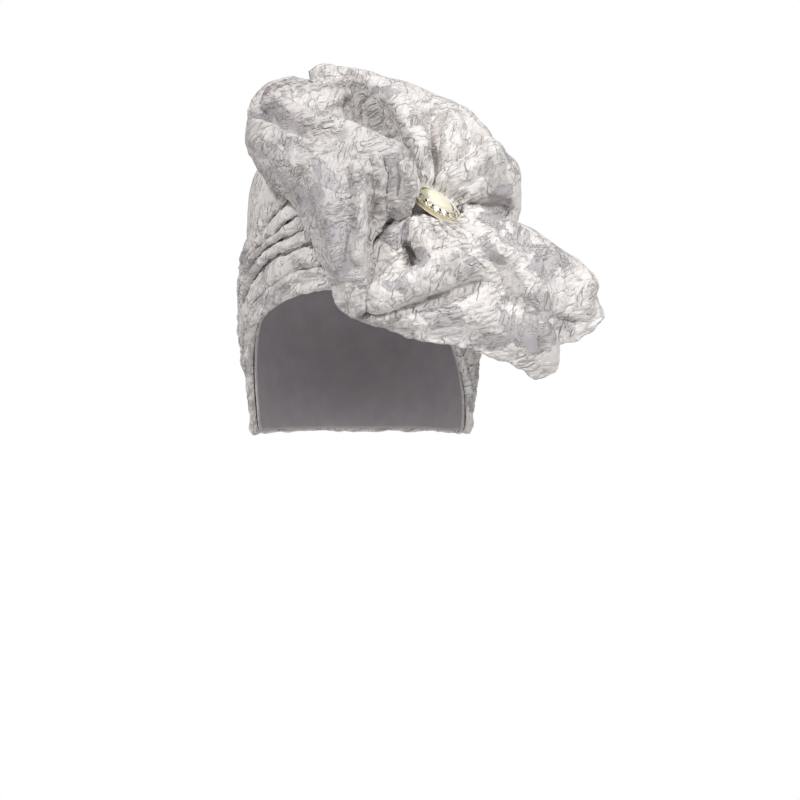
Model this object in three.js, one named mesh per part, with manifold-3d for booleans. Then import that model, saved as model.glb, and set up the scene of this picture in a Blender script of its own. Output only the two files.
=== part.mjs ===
import * as THREE from 'three';
import { mergeVertices } from 'three/addons/utils/BufferGeometryUtils.js';
import Module from 'manifold-3d';

const wasm = await Module();
wasm.setup();

// A pre-tied turban cap with a gathered bow and a brooch. Millimetres, Z up.
// The wearer faces -Y and X runs to the viewer's right. The origin is the middle
// of the head opening at the height of the brow.

// The soft cap: a head of 54 cm round the brow
const CAP_HALF_WIDTH = 75;
const CAP_HALF_DEPTH = 96;
const CAP_WALL = 1.8;
const CAP_SHOULDER = 30;
const CAP_RISE = 74;
const CAP_SIDE_SQUARENESS = 4.5;
const CAP_FRONT_SQUARENESS = 2.4;
const NAPE_LEVEL = -87;
const NAPE_HALF_WIDTH = 68;
const NAPE_HALF_DEPTH = 64;
const CAP_COLUMNS = 36;

// The folds of the wrap, which lie over the cap
const FOLD_HEIGHT = 4.1;
const FOLD_SEAT = 0.7;
const FOLD_END = 130;

// The cloth of the bow is doubled
const BOW_WALL = 2;
const BOW_STEP = 8.8;
const GAP = 0.35;

// The gathered middle, an ellipsoid with ribs
const KNOT_CENTRE = [46, -86, 56];
const KNOT_RADII = [15.5, 18, 15.5];
const KNOT_RIBS = 9;
const KNOT_RIB_DEPTH = 0.05;

// The brooch
const BROOCH_CENTRE = [47.5, -105, 59];
const BROOCH_NORMAL = [0.494, -0.5, 0.714];
const BROOCH_AXIS = [0.825, 0, -0.571];
const BROOCH_HALF_LENGTH = 20;
const BROOCH_SLENDERNESS = 0.64;
const BROOCH_HOLES = 14;
const HOLE_RING = 15.4;
const HOLE_RADIUS = 1.05;
const STONE_HALF_LENGTH = 12.3;
const PIN = { length: 26, width: 2.4, thickness: 1.4 };

// Angles round the head, from the front, for the columns of the edge table
const AROUND = {
  napeL: -135, behindL: -110, earL: -92, sideL: -76, cheekL: -62, templeL: -46, browL: -30, innerL: -15,
  front: 0, innerR: 15, browR: 30, templeR: 45, cheekR: 58, sideR: 72, earR: 92, behindR: 110, napeR: 135,
};
const EDGES = [
  { edge: 'rim_band', napeL: -86, behindL: -86.5, earL: -82, sideL: -45, cheekL: -17, templeL: -4.5,
    browL: 2.5, innerL: 6.5, front: 7, innerR: 5, browR: -4, templeR: -19, cheekR: -36,
    sideR: -57, earR: -84, behindR: -87, napeR: -86 },
  { edge: 'pleat_1', napeL: -80, behindL: -72, earL: -54, sideL: -22, cheekL: -1, templeL: 11.5,
    browL: 20, innerL: 24, front: 26, innerR: 24, browR: 17, templeR: 1, cheekR: -28,
    sideR: -48, earR: -70, behindR: -80, napeR: -81 },
  { edge: 'pleat_2', napeL: -76, behindL: -63, earL: -34, sideL: 3, cheekL: 16, templeL: 28,
    browL: 34.5, innerL: 39, front: 41, innerR: 39, browR: 33, templeR: 20, cheekR: -3,
    sideR: -27, earR: -55, behindR: -74, napeR: -79 },
  { edge: 'pleat_3', napeL: -73, behindL: -54, earL: -18, sideL: 12, cheekL: 26.5, templeL: 36,
    browL: 44.5, innerL: 50, front: 51, innerR: 49, browR: 43, templeR: 31, cheekR: 12,
    sideR: -12, earR: -42, behindR: -67, napeR: -77 },
  { edge: 'pleat_4', napeL: -70, behindL: -45, earL: -6, sideL: 19, cheekL: 31, templeL: 42,
    browL: 55, innerL: 61, front: 62, innerR: 60, browR: 54, templeR: 42, cheekR: 25,
    sideR: 2, earR: -29, behindR: -60, napeR: -75 },
  { edge: 'pleat_5', napeL: -67, behindL: -36, earL: 3, sideL: 25, cheekL: 37, templeL: 54,
    browL: 70, innerL: 76, front: 77, innerR: 74, browR: 66, templeR: 54, cheekR: 38,
    sideR: 15, earR: -16, behindR: -53, napeR: -73 },
  { edge: 'top', napeL: -64, behindL: -27, earL: 12, sideL: 34, cheekL: 53, templeL: 69,
    browL: 80, innerL: 85, front: 86, innerR: 83, browR: 76, templeR: 64, cheekR: 50,
    sideR: 28, earR: -3, behindR: -46, napeR: -71 },
];

// Creases pressed into the bow: a line across the front view, how far it reaches to each side,
// how high it stands and the sections between which it lies
const CREASES = [
  { on: 'loop', name: 'lip_groove', halfWidth: 9, height: -3.5, from: 8, to: 17,
    path: [[-66, 118.5], [-53.5, 113], [-36.5, 106], [-17.5, 97.5]] },
  { on: 'loop', name: 'brow', halfWidth: 11, height: 3, from: 8, to: 17,
    path: [[-62.5, 95], [-38, 95], [-11, 91], [24.5, 84.5]] },
  { on: 'loop', name: 'drape_valley', halfWidth: 9, height: -3, from: 8, to: 13,
    path: [[-40.5, 83.5], [-34, 59.5], [-25, 32], [-15.5, 6.5]] },
  { on: 'loop', name: 'drape_ridge', halfWidth: 9, height: 3, from: 8, to: 13,
    path: [[-26, 88.5], [-21.5, 63], [-15, 31], [-6, -1]] },
  { on: 'loop', name: 'back_crease', halfWidth: 8, height: 5, from: 0, to: 6,
    path: [[-24, 118], [-17, 126.5], [-10, 134]] },
  { on: 'loop', name: 'back_puff', halfWidth: 8, height: -4, from: 0, to: 6,
    path: [[-12.5, 114], [-4.5, 124.5], [-1, 134.5]] },
  { on: 'wing', name: 'upper_fold', halfWidth: 8, height: 5, from: 0, to: 4,
    path: [[33.5, 50], [25.5, 43], [16.5, 35.5], [8, 26.5]] },
  { on: 'wing', name: 'slit', halfWidth: 4.5, height: -9, from: 0, to: 5,
    path: [[30.5, 34], [33, 28.5], [37, 22]] },
  { on: 'wing', name: 'middle_fold', halfWidth: 8, height: 5, from: 1, to: 7,
    path: [[39.5, 46.5], [42, 35.5], [46, 24]] },
  { on: 'wing', name: 'spine', halfWidth: 10, height: 5, from: 5, to: 12,
    path: [[68, 51], [83.5, 40], [100, 28.5], [112.5, 4], [117.5, -17.5], [120.5, -39.5]] },
  { on: 'wing', name: 'trough', halfWidth: 11, height: -5, from: 4, to: 9,
    path: [[71, 36], [85, 22.5], [97.5, 5.5], [103, -15]] },
  { on: 'wing', name: 'upper_trough', halfWidth: 9, height: -5, from: 8, to: 13,
    path: [[79.5, 45], [99.5, 35.5], [119, 19.5], [128.5, -1], [129.5, -20]] },
  { on: 'wing', name: 'upper_spine', halfWidth: 9, height: 4, from: 9, to: 14,
    path: [[76, 52], [96.5, 45], [119, 33.5], [138, 19.5], [147.5, 9]] },
  { on: 'fan', name: 'ray_1', halfWidth: 9, height: 4, from: 1, to: 6,
    path: [[42, 81], [39, 98], [30, 118.5], [21.5, 132]] },
  { on: 'fan', name: 'ray_valley_1', halfWidth: 8, height: -4.5, from: 2, to: 8,
    path: [[47.5, 81], [49.5, 100], [46, 116.5]] },
  { on: 'fan', name: 'ray_2', halfWidth: 8, height: 4, from: 4, to: 9,
    path: [[54, 81], [58.5, 100], [59.5, 116.5]] },
  { on: 'fan', name: 'ray_valley_2', halfWidth: 8, height: -4.5, from: 5, to: 11,
    path: [[55, 82], [65, 91], [78.5, 101.5]] },
  { on: 'fan', name: 'ray_3', halfWidth: 10, height: 4, from: 6, to: 12,
    path: [[58, 74.5], [72, 86.5], [86, 95]] },
  { on: 'fan', name: 'pocket', halfWidth: 9, height: -6, from: 8, to: 13,
    path: [[73.5, 58], [85, 59], [95, 59.5]] },
];

// Sections of the left loop, from the ridge beside the knot along the back wall, round
// the turn and along the front wall to the cup under the brooch
const LOOP = [
  { section: 'ridge', hem: [0.5, -45, 146.5], upper: [10.5, -54, 132.5], middle: [20, -64, 119.5],
    lower: [26.5, -74, 104], hang: [31, -82, 89.5], root: [34.5, -88, 74.5] },
  { section: 'back_right', hem: [-7, -38, 146.5], upper: [0.5, -42, 131.5], middle: [7, -48, 116.5],
    lower: [13, -56, 102.5], hang: [18, -64, 90.5], root: [23.5, -72, 81] },
  { section: 'back_fold', hem: [-20, -33, 146], upper: [-16, -37, 132], middle: [-12, -42, 117],
    lower: [-7.5, -50, 105], hang: [-2.5, -58, 93.5], root: [2, -66, 85.5] },
  { section: 'back_mid', hem: [-34.5, -30, 147], upper: [-33, -36, 132], middle: [-31, -42, 118.5],
    lower: [-28, -48, 106], hang: [-25.5, -54, 94.5], root: [-23, -58, 86.5] },
  { section: 'back_left', hem: [-49.5, -32, 147.5], upper: [-49.5, -39, 133], middle: [-48, -46, 119.5],
    lower: [-46, -52, 106.5], hang: [-43, -56, 95], root: [-39.5, -58, 86.5] },
  { section: 'back_turn', hem: [-61, -41, 143], upper: [-62.5, -47, 130], middle: [-62, -53, 117.5],
    lower: [-60, -57, 105.5], hang: [-56, -59, 95], root: [-51, -58, 86] },
  { section: 'turn_in', hem: [-69, -54, 130.5], upper: [-71.5, -58, 120.5], middle: [-72, -62, 110.5],
    lower: [-70, -65, 100.5], hang: [-65, -66, 90.5], root: [-59, -63, 83] },
  { section: 'turn', hem: [-70, -66, 123.5], upper: [-72.5, -73, 114], middle: [-72.5, -79, 104],
    lower: [-71, -81, 94], hang: [-66.5, -80, 86.5], root: [-62, -76, 79.5] },
  { section: 'turn_out', hem: [-63, -79, 127.5], upper: [-67.5, -92, 113], middle: [-68, -98, 100],
    lower: [-65.5, -98, 89], hang: [-60.5, -94, 79.5], root: [-54.5, -86, 70.5] },
  { section: 'front_1', hem: [-51, -92, 125.5], upper: [-55.5, -107, 110.5], middle: [-55, -114, 95],
    lower: [-52.5, -112, 81], hang: [-47.5, -104, 69], root: [-40.5, -94, 55.5] },
  { section: 'front_2', hem: [-36, -101, 120.5], upper: [-39, -119, 103.5], middle: [-39, -125, 86.5],
    lower: [-36.5, -120, 68], hang: [-33, -110, 49.5], root: [-29.5, -99, 31] },
  { section: 'front_3', hem: [-20.5, -108, 114.5], upper: [-23, -126, 96], middle: [-23.5, -130, 76.5],
    lower: [-23, -126, 55], hang: [-21.5, -116, 30], root: [-18.5, -106, 4.5] },
  { section: 'front_4', hem: [-5, -113, 108], upper: [-6, -129, 91], middle: [-8.5, -132, 70],
    lower: [-10, -130, 45], hang: [-8.5, -122, 17], root: [-6, -110, -13] },
  { section: 'crease', hem: [10, -118, 101], upper: [11.5, -131, 87], middle: [4.5, -131, 66],
    lower: [2.5, -131, 45], hang: [2, -127, 22], root: [4, -117, -8.5] },
  { section: 'crease_in', hem: [16, -120, 97.5], upper: [18.5, -130, 85], middle: [11, -122, 66],
    lower: [9, -114, 48.5], hang: [7.5, -112, 29], root: [9, -112, 6] },
  { section: 'cavity', hem: [23.5, -121, 92.5], upper: [26.5, -129, 81.5], middle: [22, -120, 69],
    lower: [17, -113, 58.5], hang: [13.5, -108, 49], root: [11.5, -106, 38.5] },
  { section: 'cup', hem: [31, -122, 83.5], upper: [33.5, -126, 73.5], middle: [31, -118, 64],
    lower: [26.5, -111, 57], hang: [22, -105, 53.5], root: [19, -103, 50.5] },
  { section: 'cup_end', hem: [35.5, -120, 72], upper: [36, -121, 63.5], middle: [35.5, -116, 57.5],
    lower: [33.5, -111, 54.5], hang: [30, -105, 52.5], root: [26, -103, 51.5] },
];

// Sections of the front wing, spread round the knot from the seam beside the loop to the
// underside of the wing
const WING = [
  { section: 'seam', knot: [30.5, -98, 53], gather: [17, -101, 43.5], hollow: [6, -103, 27.5],
    roll: [1, -109, 6], foot: [0, -109, -1], under_roll: [-1.5, -107, -5],
    apron: [-3.5, -106, -9], hem: [-6, -105, -12] },
  { section: 'roll_1', knot: [33, -98, 51.5], gather: [22, -104, 36.5], hollow: [14.5, -107, 18.5],
    roll: [11.5, -122, 2], foot: [11.5, -120, -6], under_roll: [11, -111, -10],
    apron: [9, -112, -13.5], hem: [5.5, -108, -16.5] },
  { section: 'roll_2', knot: [36, -100, 50.5], gather: [28, -107, 31.5], hollow: [26, -107, 19],
    roll: [26, -128, 7.5], foot: [26.5, -125, -1.5], under_roll: [26.5, -110, -4.5],
    apron: [23.5, -113, -13], hem: [19.5, -107, -21] },
  { section: 'roll_3', knot: [38.5, -104, 52], gather: [34.5, -103, 33], hollow: [35.5, -103, 21.5],
    roll: [38.5, -129, 12.5], foot: [39, -126, 3], under_roll: [39.5, -109, 0],
    apron: [38, -115, -13], hem: [34.5, -107, -26] },
  { section: 'roll_4', knot: [42, -109, 53], gather: [42, -112, 34], hollow: [44.5, -110, 23.5],
    roll: [51, -130, 18], foot: [52, -127, 8], under_roll: [52.5, -109, 5],
    apron: [53, -117, -11], hem: [49.5, -107, -28.5] },
  { section: 'roll_5', knot: [45.5, -112, 52], gather: [50, -114, 35], hollow: [55, -115, 27.5],
    roll: [64, -129, 25], foot: [65.5, -126, 14.5], under_roll: [67.5, -110, 10.5],
    apron: [69, -118, -9.5], hem: [64, -106, -31.5] },
  { section: 'roll_end', knot: [49.5, -113, 50.5], gather: [61, -112, 37], hollow: [68, -118, 30.5],
    roll: [76.5, -121, 24], foot: [79, -119, 16], under_roll: [82, -112, 9.5],
    apron: [85, -116, -13], hem: [80, -102, -37] },
  { section: 'valley', knot: [53.5, -112, 49], gather: [69, -112, 39], hollow: [79, -116, 30],
    roll: [88.5, -110, 19], foot: [91, -109, 10.5], under_roll: [93.5, -108, 2.5],
    apron: [97.5, -112, -17.5], hem: [97, -98, -42] },
  { section: 'spine', knot: [57, -110, 48], gather: [77, -111, 40], hollow: [92, -117, 28.5],
    roll: [104.5, -116, 15], foot: [109, -116, 6.5], under_roll: [112.5, -113, -1.5],
    apron: [116.5, -106, -21.5], hem: [114.5, -92, -52] },
  { section: 'fall', knot: [60.5, -107, 48], gather: [83.5, -102, 42], hollow: [100.5, -104, 30.5],
    roll: [114, -101, 16.5], foot: [118, -101, 7.5], under_roll: [121, -100, -0.5],
    apron: [124, -95, -17.5], hem: [125, -86, -42] },
  { section: 'recess', knot: [63.5, -103, 50.5], gather: [87.5, -94, 45], hollow: [107.5, -92, 33],
    roll: [123.5, -86, 17], foot: [127, -84, 9], under_roll: [129.5, -82, 0.5],
    apron: [129.5, -79, -12], hem: [127.5, -77, -29.5] },
  { section: 'spine_2', knot: [65.5, -98, 54.5], gather: [90, -86, 48.5], hollow: [113.5, -83, 34.5],
    roll: [131, -78, 20], foot: [136.5, -77, 12], under_roll: [141, -76, 4],
    apron: [143.5, -74, -9.5], hem: [138.5, -72, -27.5] },
  { section: 'edge', knot: [66.5, -92, 58], gather: [90.5, -74, 52], hollow: [110.5, -66, 40.5],
    roll: [128, -60, 28], foot: [138, -58, 23.5], under_roll: [146.5, -58, 17.5],
    apron: [151.5, -60, 5], hem: [157, -64, -13.5] },
  { section: 'back', knot: [64.5, -84, 60.5], gather: [88.5, -62, 48], hollow: [108.5, -50, 35.5],
    roll: [125.5, -44, 21.5], foot: [132, -43, 15.5], under_roll: [138.5, -44, 9],
    apron: [146, -50, -2.5], hem: [149.5, -56, -15.5] },
  { section: 'under_1', knot: [60, -77, 57], gather: [81.5, -56, 39], hollow: [98, -46, 22.5],
    roll: [111, -44, 7], foot: [116.5, -46, 0.5], under_roll: [120.5, -50, -7],
    apron: [127, -58, -16], hem: [130, -64, -25] },
  { section: 'under_2', knot: [56.5, -74, 50.5], gather: [73, -60, 31], hollow: [84.5, -54, 14.5],
    roll: [95, -56, 0], foot: [99, -59, -6], under_roll: [102.5, -62, -12.5],
    apron: [109, -70, -22.5], hem: [115, -77, -31.5] },
];

// Sections of the top fan, from the ruffle behind the loop round to the pocket over the wing
const FAN = [
  { section: 'ruffle_0', knot: [4, -46, 99], inner: [-6, -34, 106], outer: [-21.5, -22, 128],
    crest: [-31.5, -16, 146], over: [-33, -9, 150.5], down: [-33, 6, 118],
    root: [-34, 10, 100] },
  { section: 'ruffle_1', knot: [10, -52, 96], inner: [1, -40, 107], outer: [-13.5, -28, 130],
    crest: [-25, -21, 151.5], over: [-28, -13, 155.5], down: [-24, 4, 122],
    root: [-25, 8, 102] },
  { section: 'ruffle_2', knot: [18, -58, 94], inner: [15, -48, 105], outer: [1, -34, 129.5],
    crest: [-9.5, -26, 149], over: [-12.5, -15, 154], down: [-11, 2, 125],
    root: [-11, 6, 104] },
  { section: 'ridge', knot: [34.5, -97, 70], inner: [30.5, -80, 97.5], outer: [21.5, -67, 120.5],
    crest: [5, -50, 144.5], over: [0.5, -36, 150.5], down: [1, -6, 126],
    root: [4, 2, 101] },
  { section: 'fan_1', knot: [37.5, -96, 69.5], inner: [37, -91, 96.5], outer: [29, -79, 118.5],
    crest: [18, -58, 141], over: [17, -44, 144.5], down: [16, -10, 124],
    root: [19, 0, 100] },
  { section: 'fan_2', knot: [41.5, -95, 67.5], inner: [45, -90, 96.5], outer: [41.5, -77, 117],
    crest: [34, -58, 138.5], over: [32.5, -42, 141], down: [32, -10, 120],
    root: [33, 0, 98] },
  { section: 'valley_1', knot: [44.5, -94, 66], inner: [50.5, -82, 94.5], outer: [50, -70, 113],
    crest: [45.5, -55, 133.5], over: [44.5, -42, 136], down: [44, -10, 115],
    root: [44, 0, 95] },
  { section: 'fan_3', knot: [48, -94, 64.5], inner: [59.5, -94, 92], outer: [62, -82, 108.5],
    crest: [58.5, -60, 127.5], over: [57.5, -44, 130], down: [56, -8, 108],
    root: [53, 2, 90] },
  { section: 'valley_2', knot: [51, -94, 62.5], inner: [65.5, -93, 88], outer: [73.5, -82, 100.5],
    crest: [76.5, -60, 116.5], over: [77, -46, 119], down: [68, -8, 98],
    root: [61, 2, 82] },
  { section: 'ridge_2', knot: [54, -94, 60.5], inner: [70.5, -104, 83], outer: [82.5, -92, 92.5],
    crest: [91, -66, 97.5], over: [92, -48, 98.5], down: [78, -8, 86],
    root: [68, 2, 70] },
  { section: 'fan_4', knot: [56.5, -94, 59], inner: [73, -100, 74], outer: [87.5, -88, 78.5],
    crest: [100, -64, 85.5], over: [101, -48, 84.5], down: [86, -10, 74],
    root: [74, 0, 58] },
  { section: 'fan_5', knot: [59.5, -93, 58], inner: [76, -92, 65.5], outer: [90.5, -84, 67.5],
    crest: [103, -64, 71.5], over: [103.5, -50, 71], down: [90, -14, 60],
    root: [77, -2, 46] },
  { section: 'pocket', knot: [62, -91, 57], inner: [77.5, -82, 60.5], outer: [88.5, -74, 59.5],
    crest: [102, -62, 58.5], over: [103, -50, 58], down: [90, -20, 48],
    root: [79, -8, 35] },
  { section: 'last', knot: [64, -88, 55.5], inner: [79, -78, 55.5], outer: [90.5, -70, 51.5],
    crest: [99.5, -62, 46.5], over: [100.5, -52, 45], down: [90, -28, 38],
    root: [80, -20, 26] },
];

function slopeAt(ts, vs, i) {
  const last = ts.length - 1;
  if (i === 0) return (vs[1] - vs[0]) / (ts[1] - ts[0]);
  if (i === last) return (vs[last] - vs[last - 1]) / (ts[last] - ts[last - 1]);
  const before = (vs[i] - vs[i - 1]) / (ts[i] - ts[i - 1]);
  const after = (vs[i + 1] - vs[i]) / (ts[i + 1] - ts[i]);
  const share = (ts[i + 1] - ts[i]) / (ts[i + 1] - ts[i - 1]);
  return before * share + after * (1 - share);
}

// A smooth value between the rows of a table
function smooth(ts, vs, t) {
  let i = 0;
  while (i < ts.length - 2 && t > ts[i + 1]) i += 1;
  const span = ts[i + 1] - ts[i];
  const u = (t - ts[i]) / span;
  const a = 2 * u * u * u - 3 * u * u + 1;
  const b = u * u * u - 2 * u * u + u;
  const c = 3 * u * u - 2 * u * u * u;
  const d = u * u * u - u * u;
  return a * vs[i] + b * span * slopeAt(ts, vs, i) + c * vs[i + 1] + d * span * slopeAt(ts, vs, i + 1);
}

function evenly(count, from, to) {
  return Array.from({ length: count }, (_, i) => from + ((to - from) * i) / (count - 1));
}

// Closed body between an outer and an inner grid of points
function bodyBetween(outer, inner, closedRound) {
  const rows = outer.length;
  const cols = outer[0].length;
  const positions = [...outer.flat(), ...inner.flat()].flatMap((p) => [p.x, p.y, p.z]);
  const index = [];
  const at = (i, j, layer) => (layer * rows + (i % rows)) * cols + j;
  const quad = (a, b, c, d) => index.push(a, b, c, a, c, d);
  const lastRow = closedRound ? rows : rows - 1;
  for (let i = 0; i < lastRow; i += 1) {
    for (let j = 0; j < cols - 1; j += 1) {
      quad(at(i, j, 0), at(i + 1, j, 0), at(i + 1, j + 1, 0), at(i, j + 1, 0));
      quad(at(i, j, 1), at(i, j + 1, 1), at(i + 1, j + 1, 1), at(i + 1, j, 1));
    }
    quad(at(i, 0, 1), at(i + 1, 0, 1), at(i + 1, 0, 0), at(i, 0, 0));
    quad(at(i, cols - 1, 0), at(i + 1, cols - 1, 0), at(i + 1, cols - 1, 1), at(i, cols - 1, 1));
  }
  if (!closedRound) {
    for (let j = 0; j < cols - 1; j += 1) {
      quad(at(0, j, 0), at(0, j + 1, 0), at(0, j + 1, 1), at(0, j, 1));
      quad(at(rows - 1, j, 1), at(rows - 1, j + 1, 1), at(rows - 1, j + 1, 0), at(rows - 1, j, 0));
    }
  }
  return solidFrom(positions, index);
}

// Solid from loose points and triangles, turned so that its faces point out
function solidFrom(positions, index) {
  let geometry = new THREE.BufferGeometry();
  geometry.setAttribute('position', new THREE.Float32BufferAttribute(positions, 3));
  geometry.setIndex(index);
  geometry = mergeVertices(geometry, 1e-4);
  return solidOf(geometry);
}

function solidOf(source) {
  let geometry = source.clone();
  geometry.deleteAttribute('normal');
  geometry.deleteAttribute('uv');
  geometry = mergeVertices(geometry, 1e-4);
  const points = geometry.getAttribute('position').array;
  const corners = Array.from(geometry.getIndex().array);
  const kept = [];
  let volume = 0;
  for (let i = 0; i < corners.length; i += 3) {
    const [a, b, c] = corners.slice(i, i + 3);
    if (a === b || b === c || a === c) continue;
    kept.push([a, b, c]);
    const pa = new THREE.Vector3().fromArray(points, a * 3);
    const pb = new THREE.Vector3().fromArray(points, b * 3);
    const pc = new THREE.Vector3().fromArray(points, c * 3);
    volume += pa.dot(pb.cross(pc));
  }
  const turned = volume < 0 ? kept.map(([a, b, c]) => [a, c, b]) : kept;
  const mesh = new wasm.Mesh({
    numProp: 3,
    vertProperties: new Float32Array(points),
    triVerts: new Uint32Array(turned.flat()),
  });
  mesh.merge();
  return new wasm.Manifold(mesh);
}

function biggest(solid) {
  return solid.decompose().sort((a, b) => b.volume() - a.volume())[0];
}

function cutBy(solid, cutters) {
  return biggest(cutters.reduce((body, cutter) => body.subtract(cutter), solid));
}

// Height of an edge of the wrap at an angle round the head
function edgeHeight(name, angle) {
  const row = EDGES.find((entry) => entry.edge === name);
  const columns = Object.keys(AROUND);
  const ends = [columns[0], columns[columns.length - 1]];
  if (angle <= AROUND[ends[0]]) return row[ends[0]];
  if (angle >= AROUND[ends[1]]) return row[ends[1]];
  return smooth(columns.map((c) => AROUND[c]), columns.map((c) => row[c]), angle);
}

// Middle of the cap's wall at an angle and a height
function capPoint(angle, z) {
  const turn = THREE.MathUtils.degToRad(angle);
  const below = Math.min(1, Math.max(0, z / NAPE_LEVEL));
  const taper = below * below * (3 - 2 * below);
  const lift = Math.min(0.999, Math.max(0, (z - CAP_SHOULDER) / CAP_RISE));
  const narrow = (1 - lift ** CAP_SIDE_SQUARENESS) ** (1 / CAP_SIDE_SQUARENESS);
  const draw = (1 - lift ** CAP_FRONT_SQUARENESS) ** (1 / CAP_FRONT_SQUARENESS);
  const halfWidth = THREE.MathUtils.lerp(CAP_HALF_WIDTH, NAPE_HALF_WIDTH, taper) * narrow;
  const halfDepth = THREE.MathUtils.lerp(CAP_HALF_DEPTH, NAPE_HALF_DEPTH, taper) * draw;
  return new THREE.Vector3(halfWidth * Math.sin(turn), -halfDepth * Math.cos(turn), z);
}

// The same, moved out square to the wall
function capOffset(angle, z, out) {
  const p = capPoint(angle, z);
  const along = capPoint(angle + 1, z).sub(capPoint(angle - 1, z));
  const up = capPoint(angle, z + 0.4).sub(capPoint(angle, z - 0.4));
  const normal = along.cross(up).normalize();
  return p.addScaledVector(normal, out);
}

// The cap from its edge over the dome, as a wall between two offsets
function capShell(out, inward) {
  const angles = evenly(CAP_COLUMNS + 1, -180, 180).slice(0, -1);
  const wallRows = 4;
  const domeRows = 7;
  const layer = (offset) => angles.map((angle) => {
    const rim = edgeHeight('rim_band', angle) + 1.5;
    const column = evenly(wallRows + 1, rim, CAP_SHOULDER).slice(0, -1);
    const dome = evenly(domeRows, 0, 86).map((t) => {
      const lift = Math.sin(THREE.MathUtils.degToRad(t)) ** (2 / CAP_FRONT_SQUARENESS);
      return CAP_SHOULDER + CAP_RISE * lift;
    });
    const line = [...column, ...dome].map((z) => capOffset(angle, z, offset));
    line.push(new THREE.Vector3(0, 0, CAP_SHOULDER + CAP_RISE + offset));
    return line;
  });
  const outer = layer(out);
  const inner = layer(-inward);
  const rows = outer.length;
  const cols = outer[0].length;
  const positions = [...outer.flat(), ...inner.flat()].flatMap((p) => [p.x, p.y, p.z]);
  const index = [];
  const at = (i, j, k) => (k * rows + (i % rows)) * cols + j;
  for (let i = 0; i < rows; i += 1) {
    for (let j = 0; j < cols - 1; j += 1) {
      index.push(at(i, j, 0), at(i + 1, j, 0), at(i + 1, j + 1, 0));
      index.push(at(i, j, 0), at(i + 1, j + 1, 0), at(i, j + 1, 0));
      index.push(at(i, j, 1), at(i + 1, j + 1, 1), at(i + 1, j, 1));
      index.push(at(i, j, 1), at(i, j + 1, 1), at(i + 1, j + 1, 1));
    }
    index.push(at(i, 0, 1), at(i + 1, 0, 1), at(i + 1, 0, 0));
    index.push(at(i, 0, 1), at(i + 1, 0, 0), at(i, 0, 0));
  }
  return solidFrom(positions, index);
}

// One fold of the wrap: thick and rounded at its lower edge, thin where the next one covers it
const FOLD_SECTION = [
  { across: 0.00, height: 0.00 },
  { across: 0.00, height: 0.62 },
  { across: 0.22, height: 1.00 },
  { across: 0.60, height: 0.92 },
  { across: 1.00, height: 0.38 },
  { across: 1.00, height: 0.00 },
];

function foldStrip(lower, upper, wholeRing, grow) {
  const stations = wholeRing
    ? evenly(CAP_COLUMNS + 1, -180, 180).slice(0, -1)
    : evenly(Math.round((FOLD_END * 2 * CAP_COLUMNS) / 360) + 1, -FOLD_END, FOLD_END);
  const rings = stations.map((angle) => {
    const z0 = edgeHeight(lower, angle) + GAP / 2 - grow;
    const z1 = edgeHeight(upper, angle) - GAP / 2 + grow;
    const end = wholeRing ? 1 : Math.min(1, (FOLD_END - Math.abs(angle)) / 22);
    const swell = FOLD_HEIGHT * (0.2 + 0.8 * Math.sqrt(Math.max(0, end)));
    return FOLD_SECTION.map((row) => {
      const seat = row.height === 0 ? FOLD_SEAT - grow : FOLD_SEAT + grow;
      const out = CAP_WALL / 2 + seat + row.height * swell;
      return capOffset(angle, THREE.MathUtils.lerp(z0, z1, row.across), out);
    });
  });
  const sides = FOLD_SECTION.length;
  const positions = rings.flat().flatMap((p) => [p.x, p.y, p.z]);
  const index = [];
  const count = rings.length;
  const at = (i, j) => (i % count) * sides + (j % sides);
  const last = wholeRing ? count : count - 1;
  for (let i = 0; i < last; i += 1) {
    for (let j = 0; j < sides; j += 1) {
      index.push(at(i, j), at(i + 1, j), at(i + 1, j + 1));
      index.push(at(i, j), at(i + 1, j + 1), at(i, j + 1));
    }
  }
  if (!wholeRing) {
    for (let j = 1; j < sides - 1; j += 1) {
      index.push(at(0, 0), at(0, j), at(0, j + 1));
      index.push(at(count - 1, 0), at(count - 1, j + 1), at(count - 1, j));
    }
  }
  return solidFrom(positions, index);
}

function distance(a, b) {
  return Math.hypot(a[0] - b[0], a[1] - b[1], a[2] - b[2]);
}

// Running lengths along a table's rows and along its columns
function lengthsOf(table) {
  const down = [0];
  for (let i = 1; i < table.length; i += 1) {
    const steps = table[i].map((p, j) => distance(p, table[i - 1][j]));
    down.push(down[i - 1] + steps.reduce((a, b) => a + b) / steps.length);
  }
  const across = [0];
  for (let j = 1; j < table[0].length; j += 1) {
    const steps = table.map((row) => distance(row[j], row[j - 1]));
    across.push(across[j - 1] + steps.reduce((a, b) => a + b) / steps.length);
  }
  return { down, across };
}

// Which way the sheets' own normals run out
const OUTWARD = { loop: -1, wing: -1, fan: 1 };

function creaseLift(crease, p, section) {
  if (section < crease.from || section > crease.to) return 0;
  let near = Infinity;
  for (let i = 1; i < crease.path.length; i += 1) {
    const [ax, az] = crease.path[i - 1];
    const [bx, bz] = crease.path[i];
    const dx = bx - ax;
    const dz = bz - az;
    const t = ((p.x - ax) * dx + (p.z - az) * dz) / (dx * dx + dz * dz);
    const u = Math.min(1, Math.max(0, t));
    near = Math.min(near, Math.hypot(p.x - ax - u * dx, p.z - az - u * dz));
  }
  if (near >= crease.halfWidth) return 0;
  return (crease.height / 2) * (1 + Math.cos((Math.PI * near) / crease.halfWidth));
}

// Where a running length falls among the sections
function sectionAt(down, s) {
  let i = 0;
  while (i < down.length - 2 && s > down[i + 1]) i += 1;
  return i + (s - down[i]) / (down[i + 1] - down[i]);
}

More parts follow.
